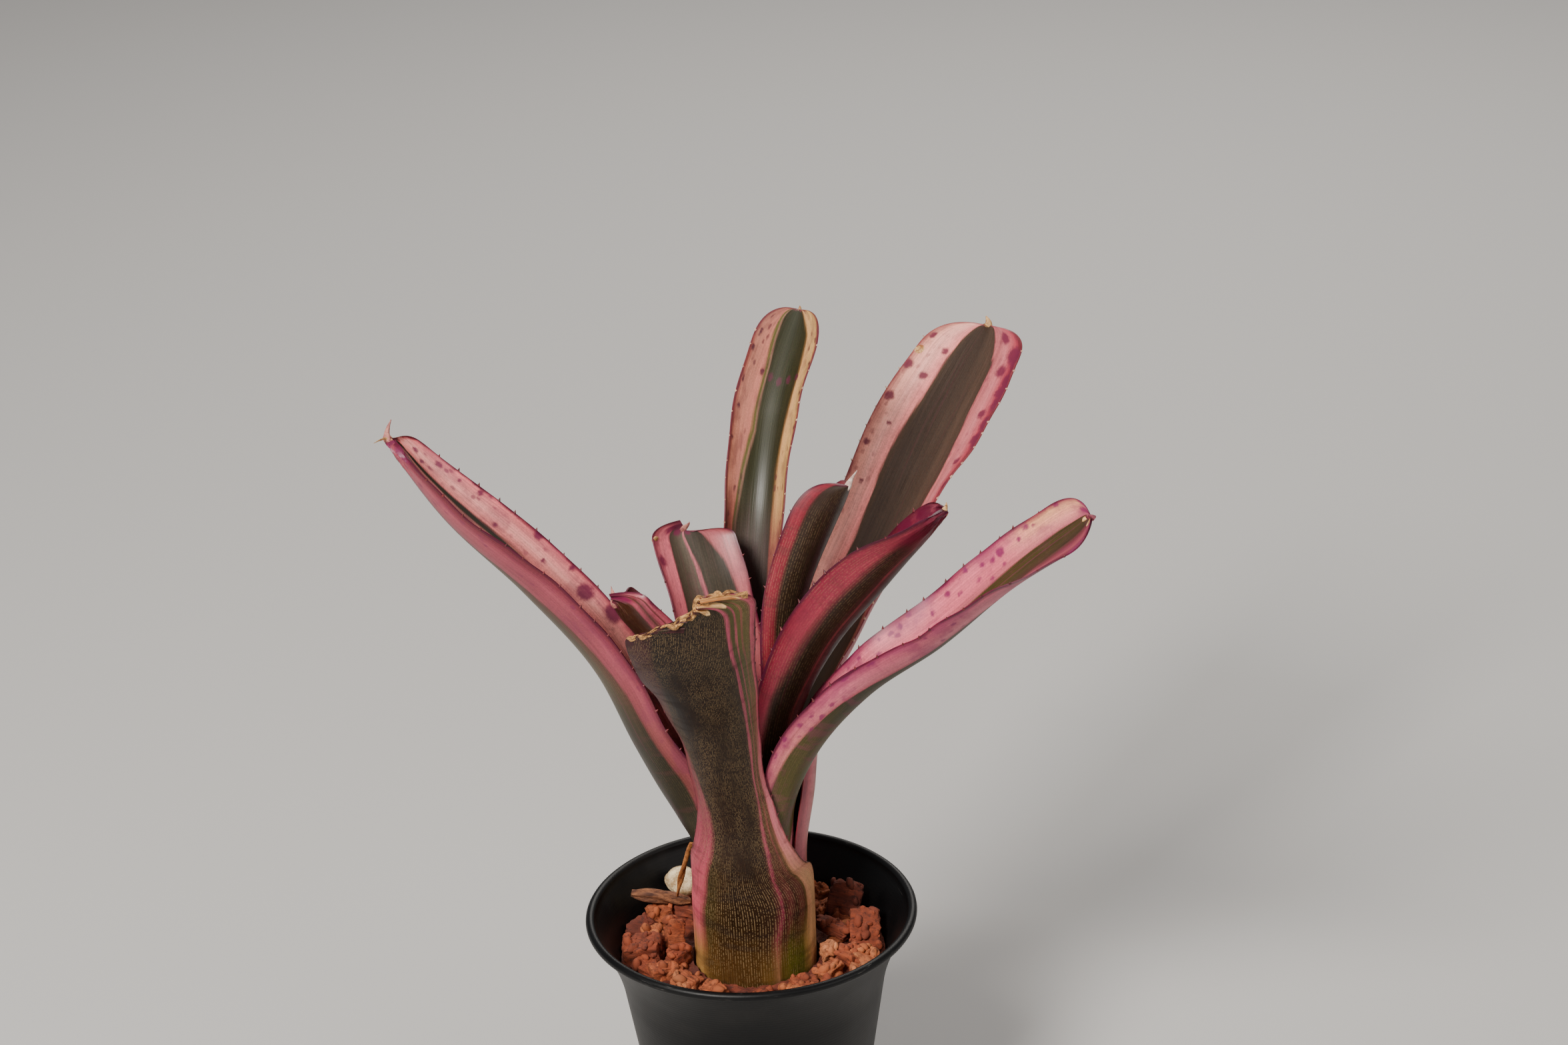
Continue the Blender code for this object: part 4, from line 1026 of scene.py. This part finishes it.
show_leaf(
    "leaf_front", "leaf_dark", leaf,
    leaf_finish("front leaf", [(0.06, foot), (0.17, low), (0.4, waist), (0.75, top)], Dots=0.7, Bars=0.35,
                Blots=0.12, Blot=(58, 22, 30), Rim=(58, 26, 28), Bar=(30, 20, 18), gloss=0.5),
    add_thorns("front_thorns", form, dark_thorn, 0.08, 0.98, seed=1, scale=0.7),
    dried_edge("front_dried_edge", form, 8.0, (0.5, 1.05), 12),
    dried_edge("front_dried_fold", form, 6.0, (0.35, 0.9), 29))


# ---- The left leaf -----------------------------------------------------------------------------
# A long pink channel reaching left and up, keeled, with a grey-green keel band, dark red thorns and
# a tip that has dried into two prongs.
leaf, form = grow(
    "leaf_left", [(14.7, 182, 0, 72, 0), (14.6, 182, 92, 70, 0)],
    [(14.9, 183, 101, 17.8, 70, 0), (18.8, 184, 110, 16.5, 80, 0), (24, 186, 121, 17, 92, -2),
     (29.5, 187, 134, 16.5, 80, -5), (38.5, 188, 157, 16.5, 78, -8), (56, 190, 183, 16, 76, -7),
     (75, 190, 207, 13, 62, -12), (87.8, 188, 227.5, 7, 48, -10)],
    tip=9, vee=0.6, slant=0, ripple=(0.25, 19), curl=(14, 0.6), crumple=0.5, seed=2.3,
    end=((-1, -1.5), (-0.5, -0.5), (0, 0), (1, -1.5)),
    bands=[(0, -0.5, 0.6), (0.35, -0.5, 0.72), (0.5, -0.49, 0.68), (0.6, -0.49, 0.58), (0.8, -0.49, 0.4),
           (1, -0.4, 0.3)],
    dry=[(1, -0.1, 1.2), (1, 0.3, 1)],
    marks=[(0.73, -0.95, 1.6), (0.66, -0.92, 1.2), (0.79, -0.62, 1.2), (0.94, -0.57, 1.2),
           (0.96, -0.68, 1.3), (0.92, -0.82, 1.6), (0.62, -0.8, 3), (0.57, -0.9, 3), (0.7, -0.7, 1),
           (0.84, -0.9, 1.3), (0.88, -0.85, 1), (1, -0.5, 3), (1, 0, 3), (1, 0.6, 3.5), (0.98, 0.9, 3)])
# In both sets the stops from about 75 on are the near half outside the keel; they are painted darker than
# the far half as shade on that side.
low = [(0, 170, 90, 98), (10, 226, 150, 152), (24, 204, 130, 126), (26, 70, 62, 38), (50, 56, 52, 34),
       (73, 62, 54, 36), (76, 136, 76, 74), (90, 162, 90, 96), (100, 110, 44, 56)]
high = [(0, 140, 54, 80), (3, 244, 146, 150), (13, 255, 182, 176), (22.5, 250, 156, 152),
        (25, 58, 54, 36), (29, 72, 64, 42), (31, 222, 152, 146), (36, 140, 100, 84), (50, 98, 90, 66),
        (66, 94, 82, 60), (73, 106, 74, 62), (75.5, 166, 88, 100), (90, 176, 94, 108), (97, 136, 58, 74),
        (100, 92, 32, 44)]
show_leaf(
    "leaf_left", "leaf_pink", leaf,
    leaf_finish("left leaf", [(0.4, low), (0.55, high)], Dots=0.15, Bars=0.1, Blots=0.65,
                Blot=(112, 38, 72), Bar=(118, 58, 71), gloss=0.6),
    add_thorns("left_thorns", form, dark_thorn, 0.06, 0.97, seed=2, scale=0.8),
    horn("left_prong", form, 0.1, 2.6, -1.6, 0.6, 1.1, pink_tip),
    horn("left_point", form, 0.0, 2.8, 1.7, -0.6, 0.7, tan_tip, back=1))


# ---- The right leaf ----------------------------------------------------------------------------
# A pink channel reaching right, with rows of purple blotches outside, magenta dots inside and an
# olive-green keel; the tip is cream, curled and edged with magenta.
leaf, form = grow(
    "leaf_right", [(14.8, 294, 18, 21, 0), (14.8, 295, 98, 21, 0)],
    [(15.0, 303, 107, 9, 46, 8), (15.4, 316, 117, 10, 60, 8), (20.5, 329, 131, 13.5, 72, 5),
     (36, 339, 151, 14.5, 71, 1), (53.5, 346, 164, 15, 63, 4), (72, 347, 182, 15, 45, 8),
     (93, 348, 200, 14, 20, 16)],
    tip=14, vee=0.6, slant=0, ripple=(0.3, 17), curl=(8, 1.2), seed=3.1,
    bands=[(0, -0.75, 0.4), (0.28, -0.75, 0.4), (0.45, -0.6, 0.4), (0.54, -0.44, 0.4), (0.76, -0.42, 0.4),
           (0.88, -0.16, 0.4), (1, -0.1, 0.35)],
    dry=[(1, -0.2, 2), (0.99, 0.2, 1.5)],
    marks=[(0.82, 0.77, 1.6), (0.75, 0.92, 1), (0.8, 0.73, 1), (0.86, 0.75, 1), (0.78, 0.8, 1),
           (0.7, 0.8, 1.2), (0.66, 0.7, 1), (0.88, 0.88, 1.2), (0.72, 0.65, 0.9), (0.6, 0.85, 1.1),
           (1, 0.6, 3), (1, 0.9, 2.5), (0.97, -0.9, 3), (1, -0.6, 2.5)])
low = [(0, 118, 34, 63), (8, 204, 118, 131), (22, 210, 134, 133), (26, 96, 88, 54), (60, 98, 92, 56),
       (74, 110, 100, 60), (77, 212, 134, 143), (100, 194, 104, 123)]
high = [(0, 114, 24, 59), (4, 198, 106, 127), (20, 212, 130, 143), (24.5, 188, 102, 115),
        (26, 74, 66, 46), (48, 82, 76, 52), (56, 96, 84, 50), (72, 88, 76, 48), (75, 194, 114, 123),
        (80, 222, 124, 138), (95, 228, 130, 146), (100, 148, 54, 87)]
end = [(0, 96, 22, 50), (6, 140, 52, 80), (14, 176, 92, 108), (22, 128, 62, 76), (25.5, 100, 70, 62),
       (28, 78, 62, 46), (60, 90, 78, 50), (72, 84, 72, 46), (75, 206, 124, 132), (85, 234, 160, 150),
       (95, 238, 180, 140), (100, 148, 54, 80)]
show_leaf(
    "leaf_right", "leaf_pink", leaf,
    leaf_finish("right leaf", [(0.35, low), (0.5, high), (0.8, high), (0.9, end)], Dots=0.15, Bars=0.25,
                Blots=0.8, Blot=(124, 32, 82), Bar=(140, 56, 92), gloss=0.5),
    add_thorns("right_thorns", form, dark_thorn, 0.15, 0.97, seed=3, scale=0.8),
    horn("right_point", form, 0.15, 2.6, -1.3, 0.5, 1.3,
         rough_finish("dried magenta hook", (84, 22, 44), (158, 70, 84), 1.2 * MM)))


# ---- The back right leaf -----------------------------------------------------------------------
# The longest leaf, lying back to the right: an olive-grey middle between broad pink and cream
# margins, the right one thick with dark red blotches.
leaf, form = grow(
    "leaf_back_right", [(14.1, 41, 0, 87, 4), (14.1, 36, 100, 80, 4)],
    [(17.4, 38, 113, 20.3, 82, 2), (23.7, 52, 127, 19.4, 73, -6), (48, 56, 144, 17, 60, -11),
     (77, 57, 163, 17.5, 47, -8), (106, 58, 181, 18.5, 31, 0), (138.5, 58, 200, 15.5, 13, -2)],
    tip=14, vee=0, slant=0, ripple=(0.25, 23), seed=4.2,
    bands=[(0, -0.45, 0.45), (0.6, -0.47, 0.48), (0.72, -0.54, 0.52), (0.84, -0.48, 0.45),
           (0.93, -0.46, 0.4), (1, -0.28, 0.3)],
    dry=[(0.93, 0.92, 1.6)],
    marks=[(0.89, 0.6, 1.8), (0.94, 0.5, 1.6), (0.9, 0.93, 2.2), (0.84, 0.9, 2), (0.8, 0.7, 1),
           (0.96, 0.9, 1.6), (0.76, 0.9, 1.4), (0.7, 0.75, 1), (0.6, -0.9, 1.8), (0.66, -0.85, 2),
           (0.7, -0.95, 2), (0.75, -0.78, 1.6), (0.79, -0.92, 2.6), (0.84, -0.75, 2), (0.88, -0.9, 2.6),
           (0.92, -0.72, 2.6), (0.95, -0.85, 3.4), (0.98, -0.6, 2.6), (0.9, -1, 4.2), (0.86, -1, 4),
           (0.82, -0.98, 3.4), (0.94, -1, 4.4), (0.78, -1, 2.6)])
low = [(0, 148, 54, 73), (10, 204, 114, 123), (24, 190, 120, 100), (26, 88, 72, 48), (74, 92, 78, 54),
       (76, 246, 164, 150), (90, 255, 184, 168), (100, 196, 110, 108)]
high = [(0, 110, 30, 48), (6, 186, 82, 96), (15, 212, 132, 136), (23.5, 198, 118, 120),
        (25.5, 84, 64, 52), (32, 94, 74, 62), (50, 76, 60, 50), (70, 80, 64, 54), (74, 92, 72, 56),
        (76, 250, 160, 156), (86, 255, 190, 180), (95, 255, 186, 170), (100, 190, 122, 110)]
show_leaf(
    "leaf_back_right", "leaf_pink", leaf,
    leaf_finish("back right leaf", [(0.4, low), (0.58, high)], Dots=0.15, Bars=0.2, Blots=0.4,
                Blot=(104, 24, 56), Rim=(130, 52, 60)),
    add_thorns("back_right_thorns", form, pale_thorn, 0.2, 0.98, seed=4, scale=0.7),
    horn("back_right_point", form, 0, 2.0, 0.5, 1.0, 1.5, tan_tip))


# ---- The back leaf -----------------------------------------------------------------------------
# The tallest leaf: a green middle crossed by a purple band near the top, a cream-pink left margin
# and a yellow-cream right one, both spotted red.
leaf, form = grow(
    "leaf_back", [(11.8, 86, 0, 90, 0), (11.8, 86, 102, 76, 0)],
    [(13.5, 83, 118, 10, 47, 0), (16.3, 84, 136, 10.5, 56, 0), (21.3, 82, 156, 10.5, 66, -1),
     (32, 79, 186, 11, 77, -2), (49, 78, 206, 11, 61, -2), (69.5, 74, 227, 10, 47, -2)],
    tip=14, vee=0, slant=0, ripple=(0.2, 22), seed=5.4,
    bands=[(0, -0.4, 0.6), (0.66, -0.38, 0.68), (0.74, -0.4, 0.52), (0.8, -0.48, 0.38), (0.9, -0.58, 0.4),
           (0.96, -0.5, 0.5), (1, -0.22, 0.6)],
    marks=[(0.89, -0.55, 1.3), (0.885, -0.3, 1.5), (0.88, -0.05, 1.6), (0.885, 0.2, 1.5),
           (0.89, 0.45, 1.3), (0.95, 0.85, 1), (0.92, 0.9, 1.2), (0.87, 0.9, 1), (0.83, 0.85, 1.1),
           (0.78, 0.92, 1), (0.95, -0.9, 1), (0.91, -0.92, 1.2), (0.86, -0.88, 1), (0.8, -0.93, 1.1)])
low = [(0, 114, 46, 51), (12, 168, 96, 96), (24, 140, 86, 80), (26, 84, 72, 68), (50, 108, 98, 94),
       (74, 88, 76, 70), (76, 148, 86, 81), (100, 118, 50, 53)]
high = [(0, 168, 106, 76), (6, 220, 182, 124), (22, 206, 162, 116), (25, 110, 84, 50), (28, 58, 54, 30),
        (50, 56, 58, 30), (68, 62, 60, 34), (71, 156, 120, 104), (73.5, 104, 106, 54), (75, 130, 110, 74),
        (77, 200, 134, 120), (95, 206, 144, 124), (100, 150, 78, 76)]
show_leaf(
    "leaf_back", "leaf_green", leaf,
    leaf_finish("back leaf", [(0.6, low), (0.72, high)], Dots=0.2, Bars=0.2, Blots=0.7, Blot=(76, 26, 44),
                Rim=(104, 44, 54), gloss=0.75),
    add_thorns("back_thorns", form, pale_thorn, 0.3, 0.98, seed=5, scale=0.6),
    horn("back_point", form, 0, 1.2, 0.1, 0.5, 0.6, tan_tip))


# ---- The inner left leaf -----------------------------------------------------------------------
# A short brown trough opening left, pink-striped beyond its keel.  Its end is rolled and has dried
# into a hook and a prong.
leaf, form = grow(
    "leaf_inner_left", [(10.4, 190, 0, 100, 0), (10.4, 190, 104, 90, 0)],
    [(12, 190, 121, 15, 80, 0), (15, 190, 138, 14.5, 80, 3), (19.5, 191, 152, 14.5, 80, 6),
     (26.5, 192, 165, 14.5, 76, 9), (34.8, 193, 177.2, 13.5, 62, 11)],
    tip=4, vee=0.3, slant=3, ripple=(0.22, 16), curl=(7, 1.6), crumple=0.3, seed=6.1,
    bands=[(0, -0.6, 0.5), (0.6, -0.6, 0.6), (0.72, -0.6, 0.78), (0.85, -0.6, 0.84), (1, -0.6, 0.9)],
    marks=[(1, -0.8, 2), (1, -0.3, 1.8), (1, 0.2, 1.8), (1, 0.7, 2)])
low = [(0, 148, 64, 83), (20, 168, 84, 93), (26, 92, 56, 38), (72, 88, 52, 36), (76, 188, 94, 113),
       (100, 198, 114, 123)]
high = [(0, 92, 34, 48), (10, 120, 60, 60), (20, 84, 50, 40), (27, 76, 46, 34), (66, 84, 50, 36),
        (68, 176, 84, 102), (71, 92, 52, 42), (74.5, 190, 96, 114), (78.5, 110, 60, 54),
        (83, 196, 108, 120), (100, 170, 78, 98)]
show_leaf(
    "leaf_inner_left", "leaf_dark", leaf,
    leaf_finish("inner left leaf", [(0.5, low), (0.7, high)], Dots=0.3, Bars=0.2, Blots=0.2),
    add_thorns("inner_left_thorns", form, dark_thorn, 0.2, 0.95, seed=6, scale=0.7),
    horn("inner_left_prong", form, 0, 4.2, -1.0, 0.2, 1.1, pink_tip),
    horn("inner_left_point", form, -0.5, 5, -1.0, 0.4, 1.1, pink_tip))


# ---- The inner right leaf ----------------------------------------------------------------------
# A steep trough leaning right, pink and magenta outside over an olive-brown keel and thick with
# blots.  Its tip curls in, dark purple, with two small dried points.
leaf, form = grow(
    "leaf_inner_right", [(9.0, 0, 0, 105, 0), (9.0, 0, 104, 95, 0)],
    [(10, -1, 121, 15.4, 92, -2), (14.7, -4, 140, 16, 85, -12), (24, -6, 159, 17.5, 82, -23),
     (38, -6, 177, 17, 77, -26), (55.5, -6, 197.6, 9.5, 55, -2)],
    tip=13, vee=0.3, slant=0, ripple=(0.25, 16), seed=7.3,
    bands=[(0, -0.75, 0.5), (0.53, -0.75, 0.5), (0.6, -0.63, 0.5), (0.81, -0.56, 0.45), (1, -0.75, 0.4)],
    curl=(12, 1.4), crumple=0.4, dry=[(1, -0.1, 1.2)],
    marks=[(1, -0.6, 4), (1, 0, 4), (1, 0.6, 5), (0.95, 0.8, 4), (0.9, 0.9, 3)])
low = [(0, 148, 44, 73), (10, 188, 78, 103), (23, 168, 74, 87), (27, 80, 60, 40), (72, 70, 52, 36),
       (77, 150, 60, 76), (100, 136, 44, 66)]
high = [(0, 84, 20, 42), (5, 140, 48, 68), (20, 156, 62, 80), (25, 108, 54, 54), (28, 62, 46, 35),
        (40, 68, 48, 37), (42, 150, 78, 84), (44, 70, 50, 38), (72, 66, 48, 37), (77, 146, 58, 76),
        (95, 132, 44, 66), (100, 84, 20, 42)]
end = [(0, 96, 24, 48), (20, 128, 40, 66), (35, 96, 28, 50), (50, 110, 40, 60), (65, 84, 22, 44),
       (80, 140, 58, 80), (92, 186, 104, 120), (100, 96, 24, 48)]
show_leaf(
    "leaf_inner_right", "leaf_pink", leaf,
    leaf_finish("inner right leaf", [(0.4, low), (0.55, high), (0.9, high), (0.95, end)], Dots=0.25,
                Bars=0.2, Blots=0.9, Blot=(90, 16, 44), Rim=(68, 12, 37), gloss=0.7),
    add_thorns("inner_right_thorns", form, dark_thorn, 0.1, 0.96, seed=7),
    horn("inner_right_point", form, 0.1, 1.6, 0.9, 0.4, 0.8, tan_tip),
    horn("inner_right_prong", form, -0.35, 2, -0.9, 0.3, 0.6, tan_tip))


# ---- The inner back right leaf -----------------------------------------------------------------
# A dark trough behind the last: a red-pink margin round an olive-brown middle, ending in a papery
# white point.
leaf, form = grow(
    "leaf_inner_back_right", [(7.7, 20, 0, 115, 0), (7.7, 20, 106, 108, 0)],
    [(9, 20, 126, 11.2, 76, 0), (12.7, 19, 148, 13, 78, -14), (18, 18, 170, 14, 82, -34),
     (31, 17, 200, 14, 71, -50)],
    tip=14, vee=0.3, slant=0, ripple=(0.22, 17), seed=8.7, bands=[(0, -0.72, 0.6), (1, -0.72, 0.6)])
stripes = [(0, 94, 18, 43), (8, 158, 60, 75), (22, 144, 54, 67), (26, 72, 54, 42), (50, 74, 60, 46),
           (74, 70, 54, 42), (78, 158, 64, 79), (100, 138, 44, 63)]
show_leaf(
    "leaf_inner_back_right", "leaf_dark", leaf,
    leaf_finish("inner back right leaf", [(1, stripes)], Dots=0.35, Bars=0.3, Blots=0.35,
                Blot=(78, 16, 37)),
    add_thorns("inner_back_right_thorns", form, dark_thorn, 0.1, 0.96, seed=8, scale=0.8),
    horn("inner_back_right_point", form, 0, 3.6, 1.2, 0.3, 1.0,
         rough_finish("papery point", (176, 140, 128), (236, 216, 204), 1.2 * MM)))


# ---- The inner back left leaf ------------------------------------------------------------------
# A square-ended, glossy leaf behind the front one: olive-grey, with pink margins and a pink line.
# Dried horns stand at its end.
leaf, form = grow(
    "leaf_inner_back_left", [(6.4, 135, 0, 125, 0), (6.4, 135, 112, 118, 0)],
    [(7, 136, 130, 10.5, 86, 0), (10.2, 134, 150, 13.5, 66, -8), (16, 129, 170, 13.5, 50, -10),
     (24.5, 124, 185, 12.6, 38, -6)],
    tip=3.5, vee=0, slant=2, ripple=(0.2, 18), seed=9.2, end=((-1, 1.2), (0, 0), (1, 1)),
    bands=[(0, -0.8, 0.45), (0.84, -0.72, 0.46), (0.92, -0.62, 0.47), (0.97, -0.42, 0.48),
           (1, -0.3, 0.5)],
    marks=[(0.93, 0.85, 1.8), (1, 0.3, 2), (1, 0, 1.6), (1, 0.6, 1.8)])
low = [(0, 148, 74, 83), (24, 118, 74, 73), (28, 96, 88, 74), (74, 96, 88, 74), (78, 198, 114, 123),
       (100, 214, 134, 139)]
high = [(0, 120, 54, 62), (10, 200, 120, 124), (23, 188, 112, 116), (27, 74, 64, 52), (38, 84, 76, 64),
        (45, 96, 88, 76), (49.5, 90, 82, 70), (51.2, 214, 134, 142), (52.6, 200, 126, 134),
        (54.5, 124, 112, 98), (64, 96, 86, 72), (74, 84, 72, 60), (76, 232, 132, 144),
        (90, 244, 146, 156), (100, 150, 66, 84)]
show_leaf(
    "leaf_inner_back_left", "leaf_dark", leaf,
    leaf_finish("inner back left leaf", [(0.6, low), (0.8, high)], Dots=0.25, Bars=0.15, Blots=0.4),
    add_thorns("inner_back_left_thorns", form, dark_thorn, 0.3, 0.92, seed=9, scale=0.7),
    horn("inner_back_left_point", form, 0.2, 4, 0.2, -0.3, 1.0, pink_tip),
    horn("inner_back_left_horn", form, 0.9, 2.4, 0.4, -0.2, 0.9, tan_tip, back=3))


# ---- The heart leaf ----------------------------------------------------------------------------
# The young leaf rolled up in the middle, deep between the others: pale green-yellow, with a pink
# edge.  It has no thorns yet.
leaf, form = grow(
    "leaf_heart", [(5.0, 250, 0, 130, 0), (5.0, 250, 100, 125, 0)],
    [(5.2, 250, 115, 9.5, 110, 0), (5.8, 250, 130, 7, 80, 0)], tip=12, vee=0, slant=0, ripple=(0.15, 12),
    seed=10.5, bands=[(0, -0.5, 0.5), (1, -0.5, 0.5)])
stripes = [(0, 178, 84, 93), (20, 214, 150, 120), (30, 150, 140, 74), (70, 140, 132, 70),
           (80, 214, 150, 120), (100, 178, 84, 93)]
show_leaf(
    "leaf_heart", "leaf_green", leaf,
    leaf_finish("heart leaf", [(1, stripes)], Dots=0.2, Blots=0.1))
bpy.data.objects.remove(one_thorn)
